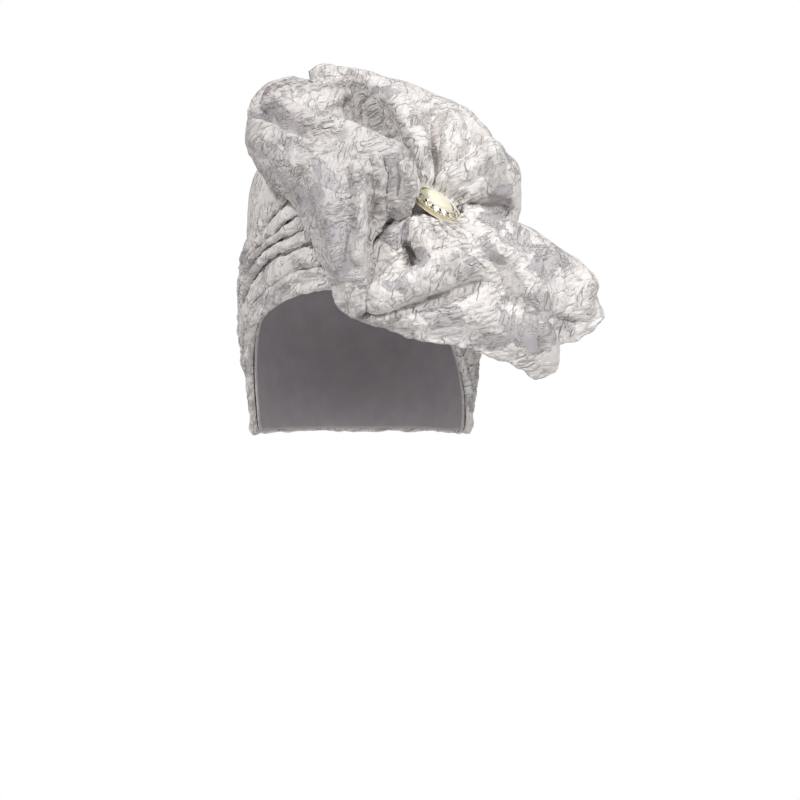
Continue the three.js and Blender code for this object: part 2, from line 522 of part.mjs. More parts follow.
// A cloth sheet through a table of sections, with its creases
function sheetGrid(sections, name) {
  const table = sections.map((row) => Object.values(row).slice(1));
  const { down, across } = lengthsOf(table);
  const stepsOf = (run) => {
    const whole = run[run.length - 1];
    return evenly(Math.round(whole / BOW_STEP) + 1, 0, whole);
  };
  const downSteps = stepsOf(down);
  const acrossSteps = stepsOf(across);
  const plain = downSteps.map((s) => acrossSteps.map((t) => {
    const xyz = [0, 1, 2].map((k) => {
      const line = table.map((row) => smooth(across, row.map((p) => p[k]), t));
      return smooth(down, line, s);
    });
    return new THREE.Vector3(...xyz);
  }));
  const creases = CREASES.filter((crease) => crease.on === name);
  return plain.map((row, i) => row.map((p, j) => {
    const section = sectionAt(down, downSteps[i]);
    const lift = creases.reduce((sum, crease) => sum + creaseLift(crease, p, section), 0);
    return p.clone().addScaledVector(gridNormal(plain, i, j), lift * OUTWARD[name]);
  }));
}

function gridNormal(grid, i, j) {
  const a = grid[Math.min(grid.length - 1, i + 1)][j];
  const b = grid[Math.max(0, i - 1)][j];
  const c = grid[i][Math.min(grid[0].length - 1, j + 1)];
  const d = grid[i][Math.max(0, j - 1)];
  return a.clone().sub(b).cross(c.clone().sub(d)).normalize();
}

// The same sheet with its edges moved out
function widened(grid, grow) {
  const copy = grid.map((row) => row.map((p) => p.clone()));
  const push = (edge, next) => edge.add(edge.clone().sub(next).setLength(grow));
  const lastRow = grid.length - 1;
  const lastCol = grid[0].length - 1;
  grid[0].forEach((_, j) => {
    push(copy[0][j], grid[1][j]);
    push(copy[lastRow][j], grid[lastRow - 1][j]);
  });
  grid.forEach((row, i) => {
    push(copy[i][0], row[1]);
    push(copy[i][lastCol], row[lastCol - 1]);
  });
  return copy;
}

function sheetSolid(plain, thickness, grow = 0) {
  const grid = grow ? widened(plain, grow) : plain;
  const layer = (out) => grid.map((row, i) => row.map((p, j) => (
    p.clone().addScaledVector(gridNormal(grid, i, j), out))));
  return bodyBetween(layer(thickness / 2), layer(-thickness / 2), false);
}

// The gathered knot: its ribs run out from under the brooch
function knotSolid(grow) {
  const normal = new THREE.Vector3(...BROOCH_NORMAL).normalize();
  const turn = new THREE.Quaternion().setFromUnitVectors(new THREE.Vector3(0, 1, 0), normal);
  const ball = new THREE.SphereGeometry(1, 27, 12);
  const spots = ball.getAttribute('position');
  const p = new THREE.Vector3();
  for (let i = 0; i < spots.count; i += 1) {
    p.fromBufferAttribute(spots, i);
    const around = Math.atan2(p.z, p.x);
    const girth = Math.hypot(p.x, p.z);
    p.multiplyScalar(1 + KNOT_RIB_DEPTH * girth * Math.cos(KNOT_RIBS * around));
    p.applyQuaternion(turn);
    p.set(p.x * (KNOT_RADII[0] + grow), p.y * (KNOT_RADII[1] + grow), p.z * (KNOT_RADII[2] + grow));
    p.add(new THREE.Vector3(...KNOT_CENTRE));
    spots.setXYZ(i, p.x, p.y, p.z);
  }
  return solidOf(ball);
}

// Lathe turned into an oval that lies along X, with its axis on Z
function ovalSolid(profile, segments) {
  const points = profile.map(([radius, height]) => new THREE.Vector2(radius, height));
  const lathe = new THREE.LatheGeometry(points, segments);
  lathe.rotateX(Math.PI / 2);
  lathe.scale(1, BROOCH_SLENDERNESS, 1);
  return solidOf(lathe);
}

function broochMatrix() {
  const normal = new THREE.Vector3(...BROOCH_NORMAL).normalize();
  const side = normal.clone().cross(new THREE.Vector3(...BROOCH_AXIS)).normalize();
  const axis = side.clone().cross(normal);
  return new THREE.Matrix4().makeBasis(axis, side, normal).setPosition(...BROOCH_CENTRE);
}

function placed(solid, matrix) {
  return solid.transform(matrix.elements);
}

function boxSolid(length, width, thickness, z) {
  const box = new THREE.BoxGeometry(length, width, thickness);
  box.translate(0, 0, z);
  return solidOf(box);
}

function settingSolid() {
  const seat = STONE_HALF_LENGTH + 0.4;
  const profile = [
    [0, 0], [BROOCH_HALF_LENGTH - 1.1, 0], [BROOCH_HALF_LENGTH, 1], [BROOCH_HALF_LENGTH, 3.3],
    [BROOCH_HALF_LENGTH - 0.8, 4.1], [15, 5], [seat, 5.2], [seat, 1.4], [0, 1.4],
  ];
  let body = ovalSolid(profile, 30);
  for (let i = 0; i < BROOCH_HOLES; i += 1) {
    const turn = ((i + 0.5) / BROOCH_HOLES) * Math.PI * 2;
    const hole = new THREE.CylinderGeometry(HOLE_RADIUS, HOLE_RADIUS, 12, 6);
    hole.rotateX(Math.PI / 2);
    hole.translate(HOLE_RING * Math.cos(turn), HOLE_RING * BROOCH_SLENDERNESS * Math.sin(turn), 3);
    body = body.subtract(solidOf(hole));
  }
  return body;
}

function stoneSolid() {
  const dome = [[1, 5], [0.92, 7.1], [0.7, 9.1], [0.37, 10.3], [0, 10.7]];
  const rise = dome.map(([share, height]) => [share * STONE_HALF_LENGTH, height]);
  return ovalSolid([[0, 1.75], [STONE_HALF_LENGTH, 1.75], ...rise], 28);
}

// Room that the brooch and its pin keep in the cloth
function broochRoom() {
  const reach = BROOCH_HALF_LENGTH + 0.4;
  const disc = ovalSolid([[0, -GAP], [reach, -GAP], [reach, 11.2], [0, 11.2]], 30);
  const slot = boxSolid(PIN.length + 0.8, PIN.width + 0.8, PIN.thickness + 0.8, -GAP - PIN.thickness / 2);
  return disc.add(slot);
}

function meshOf(name, solid, material) {
  const out = solid.getMesh();
  const geometry = new THREE.BufferGeometry();
  geometry.setAttribute('position', new THREE.BufferAttribute(new Float32Array(out.vertProperties), 3));
  geometry.setIndex(new THREE.BufferAttribute(new Uint32Array(out.triVerts), 1));
  geometry.computeVertexNormals();
  const mesh = new THREE.Mesh(geometry, material);
  mesh.name = name;
  return mesh;
}

const cloth = () => new THREE.MeshStandardMaterial({ color: 0xd6d1cf, roughness: 0.75, metalness: 0 });
const gilt = new THREE.MeshStandardMaterial({ color: 0xe6cf8f, roughness: 0.3, metalness: 1 });
const ivory = new THREE.MeshStandardMaterial({ color: 0xece4cf, roughness: 0.35, metalness: 0 });

const broochPlace = broochMatrix();
const broochCut = placed(broochRoom(), broochPlace);

const cap = capShell(CAP_WALL / 2, CAP_WALL / 2);
const capCut = capShell(CAP_WALL / 2 + GAP, 14);

const edgeNames = EDGES.map((row) => row.edge);
const strips = edgeNames.slice(0, -1).map((name, i) => ({
  name,
  body: cutBy(foldStrip(name, edgeNames[i + 1], i === 0, 0), [capCut]),
  cut: foldStrip(name, edgeNames[i + 1], i === 0, GAP),
}));
const stripCuts = strips.map((strip) => strip.cut);

const knotCut = knotSolid(GAP);
const knot = cutBy(knotSolid(0), [capCut, ...stripCuts, broochCut]);

const loopGrid = sheetGrid(LOOP, 'loop');
const wingGrid = sheetGrid(WING, 'wing');
const fanGrid = sheetGrid(FAN, 'fan');
const loopCut = sheetSolid(loopGrid, BOW_WALL + 2 * GAP, 2 * GAP);
const wingCut = sheetSolid(wingGrid, BOW_WALL + 2 * GAP, 2 * GAP);
const bowCuts = [capCut, ...stripCuts, knotCut, broochCut];
const loop = cutBy(sheetSolid(loopGrid, BOW_WALL), bowCuts);
const wing = cutBy(sheetSolid(wingGrid, BOW_WALL), [...bowCuts, loopCut]);
const fan = cutBy(sheetSolid(fanGrid, BOW_WALL), [...bowCuts, loopCut, wingCut]);

const pin = placed(boxSolid(PIN.length, PIN.width, PIN.thickness, -GAP - PIN.thickness / 2), broochPlace);

const wrap = new THREE.Group();
wrap.add(meshOf('cap_crown', cap, cloth()));
strips.forEach((strip) => wrap.add(meshOf(strip.name, strip.body, cloth())));

const bow = new THREE.Group();
bow.add(meshOf('gather_knot', knot, cloth()));
bow.add(meshOf('left_loop', loop, cloth()));
bow.add(meshOf('front_wing', wing, cloth()));
bow.add(meshOf('top_fan', fan, cloth()));

const brooch = new THREE.Group();
brooch.add(meshOf('brooch_setting', placed(settingSolid(), broochPlace), gilt));
brooch.add(meshOf('brooch_stone', placed(stoneSolid(), broochPlace), ivory));
brooch.add(meshOf('brooch_pin', pin, gilt));

const turban = new THREE.Group();
turban.add(wrap, bow, brooch);

export default turban;
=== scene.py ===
"""A pre-tied turban cap in silver-grey cloque brocade, with a gathered bow and a gilt brooch."""

import itertools
import math
from functools import partial
import bmesh
import bpy
import numpy as np
from mathutils import Matrix, Vector


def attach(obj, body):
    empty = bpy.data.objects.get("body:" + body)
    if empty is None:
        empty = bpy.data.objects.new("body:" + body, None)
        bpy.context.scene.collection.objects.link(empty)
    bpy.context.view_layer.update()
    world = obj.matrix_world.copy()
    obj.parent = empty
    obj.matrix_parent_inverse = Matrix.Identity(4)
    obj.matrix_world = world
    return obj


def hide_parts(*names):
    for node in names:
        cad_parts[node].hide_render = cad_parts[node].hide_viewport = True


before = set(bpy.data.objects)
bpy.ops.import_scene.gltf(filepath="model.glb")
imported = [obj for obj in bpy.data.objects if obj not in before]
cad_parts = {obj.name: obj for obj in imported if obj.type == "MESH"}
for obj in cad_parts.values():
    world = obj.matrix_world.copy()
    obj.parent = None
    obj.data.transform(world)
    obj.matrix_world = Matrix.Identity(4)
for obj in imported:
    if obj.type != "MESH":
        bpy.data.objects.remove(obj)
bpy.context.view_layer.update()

# Lengths are in millimetres up to the stage, and a mesh is turned to metres when it is made.
# The front of the cap faces -Y, X runs to the viewer's right, and the origin is in the middle
# of the cap, 7 mm below the front edge of its rim.
MM = 0.001

# The soft cap
CAP_HALF_WIDTH = 75
CAP_HALF_DEPTH = 96
CAP_WALL = 1.8
CAP_SHOULDER = 30
CAP_RISE = 74
CAP_SIDE_SQUARENESS = 4.5
CAP_FRONT_SQUARENESS = 2.4
NAPE_LEVEL = -87
NAPE_HALF_WIDTH = 68
NAPE_HALF_DEPTH = 64

# The folds of the wrap, which end at an angle round the cap from the front
FOLD_HEIGHT = 4.1
FOLD_SEAT = 0.7
FOLD_END = 130

# The doubled cloth of the bow
BOW_WALL = 2.0
BOW_FEATHER = 1.3
BOW_RELIEF = 0.9

# The gathered middle
KNOT_CENTRE = (46, -86, 56)
KNOT_RADII = (15.5, 18, 15.5)

# The brooch: its middle, the way it faces and the way its long side runs
BROOCH_CENTRE = Vector((47.5, -105, 59))
BROOCH_NORMAL = Vector((0.494, -0.5, 0.714))
BROOCH_AXIS = Vector((0.825, 0, -0.571))
BROOCH_HALF_LENGTH = 20
BROOCH_SLENDERNESS = 0.64
BROOCH_WALL_HEIGHT = 2.0
BROOCH_HOLES = 14
HOLE_RING = 15.4
HOLE_RADIUS = 1.05
FINE_HOLE_RING = 17.7
FINE_HOLE_RADIUS = 0.55

# Its casting: how far in and up each step goes from the wall to the rim of the stone's seat, how
# deep the seat is sunk, and the height of the sloping gallery at three half lengths
CASTING_STEPS = (
    (0.12, 0.45), (0.25, 0.3), (0.4, 0.12), (0.35, -0.05), (0.25, -0.2),
    (3.2, 1.3), (2.3, 1.1), (0.2, 0.2), (0.23, 0.0),
)
SEAT_DROP = 3.75
GALLERY_LENGTHS = (13.1, 15.4, 18.6)
GALLERY_HEIGHTS = (5.0, 3.95, 2.65)

# Its round wires: the half length, the wire's radius and the height of each
COLLARS = {
    "bezel": (12.95, 0.32, 5.2),
    "outer_wire": (18.8, 0.24, 2.7),
    "foot_wire": (19.95, 0.2, 0.35),
}

# Its filigree: the pattern, how many, where the first sits as a share of their spacing, the half
# length of the oval they follow, how far they stand over the gallery and how far they are turned
FILIGREE = (
    ("ringlet", BROOCH_HOLES, 0.5, HOLE_RING, 0.25, 0.0),
    ("scroll", BROOCH_HOLES, 0.0, 17.2, 0.1, 0.0),
    ("curl", BROOCH_HOLES, 0.0, 15.1, 0.1, math.pi),
    ("curl", 2 * BROOCH_HOLES, 0.5, 17.9, 0.08, math.pi),
    ("grain", BROOCH_HOLES, 0.0, 16.1, 0.05, 0.0),
    ("small_grain", 46, 0.0, 13.75, 0.1, 0.0),
)

# The stone: its half length, the rise of its dome, and its girdle down from the seat
STONE_HALF_LENGTH = 12.3
STONE_DOME = 5.7
STONE_SEAT = 5.0
STONE_GIRDLE = 3.2

# The cloth's pattern: puffed petals among smaller patches of flat satin, the share of petals
# that are satin or thin, and how closely the yarn covers the loop. On the loop the yarn is
# thinner and more often sheer: partly its own cloth, partly painted shade that darkens the loop
PETAL = 16
SATIN_SHARE = 0.04
FOLD_SATIN_SHARE = 0.05
SHEER_SHARE = 0.1
LOOP_SHEER_SHARE = 0.3
LOOP_COVER = 0.68

# How far back in Y the patches placed on the front reach, and the longest way that is measured
# to an outline
FRONT_FACING = -25
FAR = 12.0

# The crinkles: their length, depth and spacing, and the tilts of the two ways they run
CRINKLE = (18, 12, 7)
CRINKLE_TILTS = (18, 72)

# The bow's crisp drape: long folds that run out from the knot, and crushed facets
LONG_FOLD = 2.4
CRUSH = 0.7
EDGE_WAVER = 1.1

# Rolled hems of the bow: the edge by its place in edge_distance, how thick the roll is and how
# wide. Gathers beside the knot: how deep they are and how far they run out
LOOP_HEM = (2, 1.8, 3.0)
WING_HEM = (3, 0.4, 1.8)
WING_GATHERS = (1.2, 26)
FAN_GATHERS = (1.3, 30)

# Points along and across each cloth; the crown's are round it, up its wall, over its dome and
# over its top, and a fold's are along it, over its front and over its back
CROWN_POINTS = (300, 60, 46, 12)
BAND_POINTS = (520, 32, 4)
FOLD_POINTS = (400, 30, 4)
KNOT_POINTS = (240, 60)
LOOP_POINTS = (330, 124)
WING_POINTS = (277, 142)
FAN_POINTS = (255, 166)

# Angles round the head, from the front, for the columns of the edge table
AROUND = (-135, -110, -92, -76, -62, -46, -30, -15, 0, 15, 30, 45, 58, 72, 92, 110, 135)

# Heights of the edges of the wrap's folds at those angles, from the rim up
EDGES = {
    "rim_band": (-86, -86.5, -82, -45, -17, -4.5, 2.5, 6.5, 7, 5, -4, -19, -36, -57, -84, -87, -86),
    "pleat_1": (-80, -72, -54, -22, -1, 11.5, 20, 24, 26, 24, 17, 1, -28, -48, -70, -80, -81),
    "pleat_2": (-76, -63, -34, 3, 16, 28, 34.5, 39, 41, 39, 33, 20, -3, -27, -55, -74, -79),
    "pleat_3": (-73, -54, -18, 12, 26.5, 36, 44.5, 50, 51, 49, 43, 31, 12, -12, -42, -67, -77),
    "pleat_4": (-70, -45, -6, 19, 31, 42, 55, 61, 62, 60, 54, 42, 25, 2, -29, -60, -75),
    "pleat_5": (-67, -36, 3, 25, 37, 54, 70, 76, 77, 74, 66, 54, 38, 15, -16, -53, -73),
    "top": (-64, -27, 12, 34, 53, 69, 80, 85, 86, 83, 76, 64, 50, 28, -3, -46, -71),
}

# Sections of the left loop, from the ridge beside the knot along the back wall, round
# the turn and along the front wall to the cup under the brooch; in each the points run
# from its hem to its root
LOOP = {
    "ridge": (
        (0.5, -45, 146.5), (10.5, -54, 132.5), (20, -64, 119.5),
        (26.5, -74, 104), (31, -82, 89.5), (34.5, -88, 74.5),
    ),
    "back_right": (
        (-7, -38, 146.5), (0.5, -42, 131.5), (7, -48, 116.5),
        (13, -56, 102.5), (18, -64, 90.5), (23.5, -72, 81),
    ),
    "back_fold": (
        (-20, -33, 146), (-16, -37, 132), (-12, -42, 117),
        (-7.5, -50, 105), (-2.5, -58, 93.5), (2, -66, 85.5),
    ),
    "back_mid": (
        (-34.5, -30, 147), (-33, -36, 132), (-31, -42, 118.5),
        (-28, -48, 106), (-25.5, -54, 94.5), (-23, -58, 86.5),
    ),
    "back_left": (
        (-49.5, -32, 147.5), (-49.5, -39, 133), (-48, -46, 119.5),
        (-46, -52, 106.5), (-43, -56, 95), (-39.5, -58, 86.5),
    ),
    "back_turn": (
        (-61, -41, 143), (-62.5, -47, 130), (-62, -53, 117.5),
        (-60, -57, 105.5), (-56, -59, 95), (-51, -58, 86),
    ),
    "turn_in": (
        (-69, -54, 130.5), (-71.5, -58, 120.5), (-72, -62, 110.5),
        (-70, -65, 100.5), (-65, -66, 90.5), (-59, -63, 83),
    ),
    "turn": (
        (-70, -66, 123.5), (-72.5, -73, 114), (-72.5, -79, 104),
        (-71, -81, 94), (-66.5, -80, 86.5), (-62, -76, 79.5),
    ),
    "turn_out": (
        (-63, -79, 127.5), (-67.5, -92, 113), (-68, -98, 100),
        (-65.5, -98, 89), (-60.5, -94, 79.5), (-54.5, -86, 70.5),
    ),
    "front_1": (
        (-51, -92, 125.5), (-55.5, -107, 110.5), (-55, -114, 95),
        (-52.5, -112, 81), (-47.5, -104, 69), (-40.5, -94, 55.5),
    ),
    "front_2": (
        (-36, -101, 120.5), (-39, -119, 103.5), (-39, -125, 86.5),
        (-36.5, -120, 68), (-33, -110, 49.5), (-29.5, -99, 31),
    ),
    "front_3": (
        (-20.5, -108, 114.5), (-23, -126, 96), (-23.5, -130, 76.5),
        (-23, -126, 55), (-21.5, -116, 30), (-18.5, -106, 4.5),
    ),
    "front_4": (
        (-5, -113, 108), (-6, -129, 91), (-8.5, -132, 70),
        (-10, -130, 45), (-8.5, -122, 17), (-6, -110, -13),
    ),
    "crease": (
        (10, -118, 101), (11.5, -131, 87), (4.5, -131, 66),
        (2.5, -131, 45), (2, -127, 22), (4, -117, -8.5),
    ),
    "crease_in": (
        (16, -120, 97.5), (18.5, -130, 85), (11, -122, 66),
        (9, -114, 48.5), (7.5, -112, 29), (9, -112, 6),
    ),
    "cavity": (
        (23.5, -121, 92.5), (26.5, -129, 81.5), (22, -120, 69),
        (17, -113, 58.5), (13.5, -108, 49), (11.5, -106, 38.5),
    ),
    "cup": (
        (31, -122, 83.5), (33.5, -126, 73.5), (31, -118, 64),
        (26.5, -111, 57), (22, -105, 53.5), (19, -103, 50.5),
    ),
    "cup_end": (
        (35.5, -120, 72), (36, -121, 63.5), (35.5, -116, 57.5),
        (33.5, -111, 54.5), (30, -105, 52.5), (26, -103, 51.5),
    ),
}

# Sections of the front wing, spread round the knot from the seam beside the loop to the
# underside of the wing; in each the points run from the knot over the roll to the hem
WING = {
    "seam": (
        (30.5, -98, 53), (17, -101, 43.5), (6, -103, 27.5), (1, -109, 6),
        (0, -109, -1), (-1.5, -107, -5), (-3.5, -106, -9), (-6, -105, -12),
    ),
    "roll_1": (
        (33, -98, 51.5), (22, -104, 36.5), (14.5, -107, 18.5), (11.5, -122, 2),
        (11.5, -120, -6), (11, -111, -10), (9, -112, -13.5), (5.5, -108, -16.5),
    ),
    "roll_2": (
        (36, -100, 50.5), (28, -107, 31.5), (26, -107, 19), (26, -128, 7.5),
        (26.5, -125, -1.5), (26.5, -110, -4.5), (23.5, -113, -13), (19.5, -107, -21),
    ),
    "roll_3": (
        (38.5, -104, 52), (34.5, -103, 33), (35.5, -103, 21.5), (38.5, -129, 12.5),
        (39, -126, 3), (39.5, -109, 0), (38, -115, -13), (34.5, -107, -26),
    ),
    "roll_4": (
        (42, -109, 53), (42, -112, 34), (44.5, -110, 23.5), (51, -130, 18),
        (52, -127, 8), (52.5, -109, 5), (53, -117, -11), (49.5, -107, -28.5),
    ),
    "roll_5": (
        (45.5, -112, 52), (50, -114, 35), (55, -115, 27.5), (64, -129, 25),
        (65.5, -126, 14.5), (67.5, -110, 10.5), (69, -118, -9.5), (64, -106, -31.5),
    ),
    "roll_end": (
        (49.5, -113, 50.5), (61, -112, 37), (68, -118, 30.5), (76.5, -121, 24),
        (79, -119, 16), (82, -112, 9.5), (85, -116, -13), (80, -102, -37),
    ),
    "valley": (
        (53.5, -112, 49), (69, -112, 39), (79, -116, 30), (88.5, -110, 19),
        (91, -109, 10.5), (93.5, -108, 2.5), (97.5, -112, -17.5), (97, -98, -42),
    ),
    "spine": (
        (57, -110, 48), (77, -111, 40), (92, -117, 28.5), (104.5, -116, 15),
        (109, -116, 6.5), (112.5, -113, -1.5), (116.5, -106, -21.5), (114.5, -92, -52),
    ),
    "fall": (
        (60.5, -107, 48), (83.5, -102, 42), (100.5, -104, 30.5), (114, -101, 16.5),
        (118, -101, 7.5), (121, -100, -0.5), (124, -95, -17.5), (125, -86, -42),
    ),
    "recess": (
        (63.5, -103, 50.5), (87.5, -94, 45), (107.5, -92, 33), (123.5, -86, 17),
        (127, -84, 9), (129.5, -82, 0.5), (129.5, -79, -12), (127.5, -77, -29.5),
    ),
    "spine_2": (
        (65.5, -98, 54.5), (90, -86, 48.5), (113.5, -83, 34.5), (131, -78, 20),
        (136.5, -77, 12), (141, -76, 4), (143.5, -74, -9.5), (138.5, -72, -27.5),
    ),
    "edge": (
        (66.5, -92, 58), (90.5, -74, 52), (110.5, -66, 40.5), (128, -60, 28),
        (138, -58, 23.5), (146.5, -58, 17.5), (151.5, -60, 5), (157, -64, -13.5),
    ),
    "back": (
        (64.5, -84, 60.5), (88.5, -62, 48), (108.5, -50, 35.5), (125.5, -44, 21.5),
        (132, -43, 15.5), (138.5, -44, 9), (146, -50, -2.5), (149.5, -56, -15.5),
    ),
    "under_1": (
        (60, -77, 57), (81.5, -56, 39), (98, -46, 22.5), (111, -44, 7),
        (116.5, -46, 0.5), (120.5, -50, -7), (127, -58, -16), (130, -64, -25),
    ),
    "under_2": (
        (56.5, -74, 50.5), (73, -60, 31), (84.5, -54, 14.5), (95, -56, 0),
        (99, -59, -6), (102.5, -62, -12.5), (109, -70, -22.5), (115, -77, -31.5),
    ),
}

# Sections of the top fan, from the ruffle behind the loop round to the pocket over the wing;
# in each the points run from the knot over the crest to the root on the cap
FAN = {
    "ruffle_0": (
        (4, -46, 99), (-6, -34, 106), (-21.5, -22, 128), (-31.5, -16, 146),
        (-33, -9, 150.5), (-33, 6, 118), (-34, 10, 100),
    ),
    "ruffle_1": (
        (10, -52, 96), (1, -40, 107), (-13.5, -28, 130), (-25, -21, 151.5),
        (-28, -13, 155.5), (-24, 4, 122), (-25, 8, 102),
    ),
    "ruffle_2": (
        (18, -58, 94), (15, -48, 105), (1, -34, 129.5), (-9.5, -26, 149),
        (-12.5, -15, 154), (-11, 2, 125), (-11, 6, 104),
    ),
    "ridge": (
        (34.5, -97, 70), (30.5, -80, 97.5), (21.5, -67, 120.5), (5, -50, 144.5),
        (0.5, -36, 150.5), (1, -6, 126), (4, 2, 101),
    ),
    "fan_1": (
        (37.5, -96, 69.5), (37, -91, 96.5), (29, -79, 118.5), (18, -58, 141),
        (17, -44, 144.5), (16, -10, 124), (19, 0, 100),
    ),
    "fan_2": (
        (41.5, -95, 67.5), (45, -90, 96.5), (41.5, -77, 117), (34, -58, 138.5),
        (32.5, -42, 141), (32, -10, 120), (33, 0, 98),
    ),
    "valley_1": (
        (44.5, -94, 66), (50.5, -82, 94.5), (50, -70, 113), (45.5, -55, 133.5),
        (44.5, -42, 136), (44, -10, 115), (44, 0, 95),
    ),
    "fan_3": (
        (48, -94, 64.5), (59.5, -94, 92), (62, -82, 108.5), (58.5, -60, 127.5),
        (57.5, -44, 130), (56, -8, 108), (53, 2, 90),
    ),
    "valley_2": (
        (51, -94, 62.5), (65.5, -93, 88), (73.5, -82, 100.5), (76.5, -60, 116.5),
        (77, -46, 119), (68, -8, 98), (61, 2, 82),
    ),
    "ridge_2": (
        (54, -94, 60.5), (70.5, -104, 83), (82.5, -92, 92.5), (91, -66, 97.5),
        (92, -48, 98.5), (78, -8, 86), (68, 2, 70),
    ),
    "fan_4": (
        (56.5, -94, 59), (73, -100, 74), (87.5, -88, 78.5), (100, -64, 85.5),
        (101, -48, 84.5), (86, -10, 74), (74, 0, 58),
    ),
    "fan_5": (
        (59.5, -93, 58), (76, -92, 65.5), (90.5, -84, 67.5), (103, -64, 71.5),
        (103.5, -50, 71), (90, -14, 60), (77, -2, 46),
    ),
    "pocket": (
        (62, -91, 57), (77.5, -82, 60.5), (88.5, -74, 59.5), (102, -62, 58.5),
        (103, -50, 58), (90, -20, 48), (79, -8, 35),
    ),
    "last": (
        (64, -88, 55.5), (79, -78, 55.5), (90.5, -70, 51.5), (99.5, -62, 46.5),
        (100.5, -52, 45), (90, -28, 38), (80, -20, 26),
    ),
}

# Folds pressed into the bow: the sheet, how far each reaches to a side, how high it stands,
# the sections between which it lies, and its line across the front view as X and Z
CREASES = {
    "lip_groove": ("loop", 8, -11, 8, 17,
                   ((-67.5, 122), (-59.5, 119), (-51, 114), (-40.5, 107.5), (-27.5, 102.5), (-13.5, 100.5))),
    "lip_roll": ("loop", 7, 3.5, 9, 17,
                 ((-49.5, 122), (-38, 115.5), (-25, 109.5), (-9, 105), (7, 99), (21, 90))),
    "brow": ("loop", 8, 3.5, 8, 17, ((-62.5, 100), (-48, 103), (-34, 99.5), (-11, 96), (19.5, 88.5))),
    "side_hollow": ("loop", 7, -3.5, 7, 11, ((-59.5, 88.5), (-54.5, 79), (-48, 69.5), (-40.5, 58.5))),
    "drape_valley": ("loop", 8, -3, 8, 13, ((-38, 77), (-33, 56.5), (-25, 32), (-15.5, 6.5))),
    "drape_ridge": ("loop", 8, 2.5, 8, 13, ((-24, 85.5), (-20, 63), (-15, 31), (-6, -1))),
    "drape_edge": ("loop", 4.5, 4.5, 10, 14, ((-2, 82), (0.5, 63), (1, 43.5), (-1, 24.5))),
    "cup_side": ("loop", 6, -5, 12, 16, ((7.5, 74.5), (9.5, 53.5), (7.5, 31))),
    "inner_gather_1": ("loop", 3, -2, 12, 16, ((7, 88.5), (9.5, 79), (11.5, 68))),
    "inner_gather_2": ("loop", 3, -2.5, 13, 16, ((16, 86.5), (18.5, 77.5), (17, 68))),
    "inner_gather_3": ("loop", 3.5, -2.5, 14, 17, ((23.5, 83.5), (26.5, 74.5), (24.5, 65.5))),
    "back_gash": ("loop", 3, -4, 2, 6, ((-49, 138.5), (-47.5, 130.5), (-42.5, 123.5))),
    "back_crease": ("loop", 3.2, -3, 0, 6, ((-24, 118.5), (-19.5, 126.5), (-13.5, 132), (-6, 136))),
    "back_puff": ("loop", 8, 3.5, 0, 6, ((-8.5, 128), (-8, 119), (-6, 113))),
    "back_line": ("loop", 2.6, -2.5, 0, 5, ((-1.5, 134.5), (-1, 123), (0, 111.5))),
    "back_valley": ("loop", 5, -5, 0, 4, ((8.5, 128), (10.5, 119), (8.5, 107.5))),
    "back_curl": ("loop", 2.6, -2.5, 0, 4, ((15, 103), (18.5, 107), (24, 107.5))),
    "upper_fold": ("wing", 8, 5, 0, 4, ((33.5, 50), (25.5, 43), (16.5, 35.5), (8, 26.5))),
    "slit": ("wing", 4.5, -9, 0, 5, ((30.5, 34), (33, 28.5), (37, 22))),
    "middle_fold": ("wing", 8, 5, 1, 7, ((39.5, 46.5), (42, 35.5), (46, 24))),
    "roll_ridge": ("wing", 6, 2.5, 1, 6, ((28.5, 6.5), (41.5, 17), (55.5, 26.5), (65.5, 33))),
    "roll_line": ("wing", 2.8, -2.5, 4, 8, ((59.5, 23.5), (68, 28), (76, 23.5), (82.5, 15.5))),
    "spine": ("wing", 10, 4.5, 5, 12,
              ((68, 51), (83.5, 40), (100, 28.5), (112.5, 4), (117.5, -17.5), (120.5, -39.5))),
    "upper_trough": ("wing", 7, -4, 8, 13, ((90, 40), (104, 29.5), (115.5, 17), (123, -1), (127, -20))),
    "upper_spine": ("wing", 9, 4, 9, 14, ((76, 52), (96.5, 45), (119, 33.5), (138, 19.5), (147.5, 9))),
    "tip_hollow": ("wing", 6, -4, 8, 13, ((119.5, -15), (128.5, -12.5), (138.5, -15))),
    "ray_1": ("fan", 9, 4, 1, 6, ((42, 81), (39, 98), (30, 118.5), (21.5, 132))),
    "ray_valley_1": ("fan", 8, -4.5, 2, 8, ((47.5, 81), (49.5, 100), (46, 116.5))),
    "ray_2": ("fan", 8, 4, 4, 9, ((54, 81), (58.5, 100), (59.5, 116.5))),
    "ray_valley_2": ("fan", 8, -4.5, 5, 11, ((55, 82), (65, 91), (78.5, 101.5))),
    "ray_3": ("fan", 10, 4, 6, 12, ((58, 74.5), (72, 86.5), (86, 95))),
    "pocket": ("fan", 9, -6, 8, 13, ((73.5, 58), (85, 59), (95, 59.5))),
}

# Bare satin on the front: X, Z, half length, half width and tilt of each patch
SATIN_PATCHES = (
    (-56.5, 118.5, 11, 4.5, -14), (-43.5, 109.5, 11, 4, -24), (-30.5, 59.5, 6.5, 7.5, 0),
    (-22, 74.5, 4.5, 9.5, 0), (-11, 22, 5, 9.5, 0), (26, 77, 5, 8.5, 0), (17, 134.5, 6.5, 4.5, -30),
    (-51, 3.5, 10, 3, 32), (88, 28, 9, 4.5, -12), (113, 19.5, 7, 4.5, -40), (108, -25.5, 13, 8.5, -40),
    (90, -29, 11, 4.5, 12), (132, -17.5, 10, 4.5, 8), (83.5, 50, 8.5, 4, -20), (90, 61.5, 9, 5, 0),
    (73.5, 19.5, 4.5, 3, 30), (37, 23.5, 6, 4.5, 40), (-9, 41, 4, 3, 0),
)
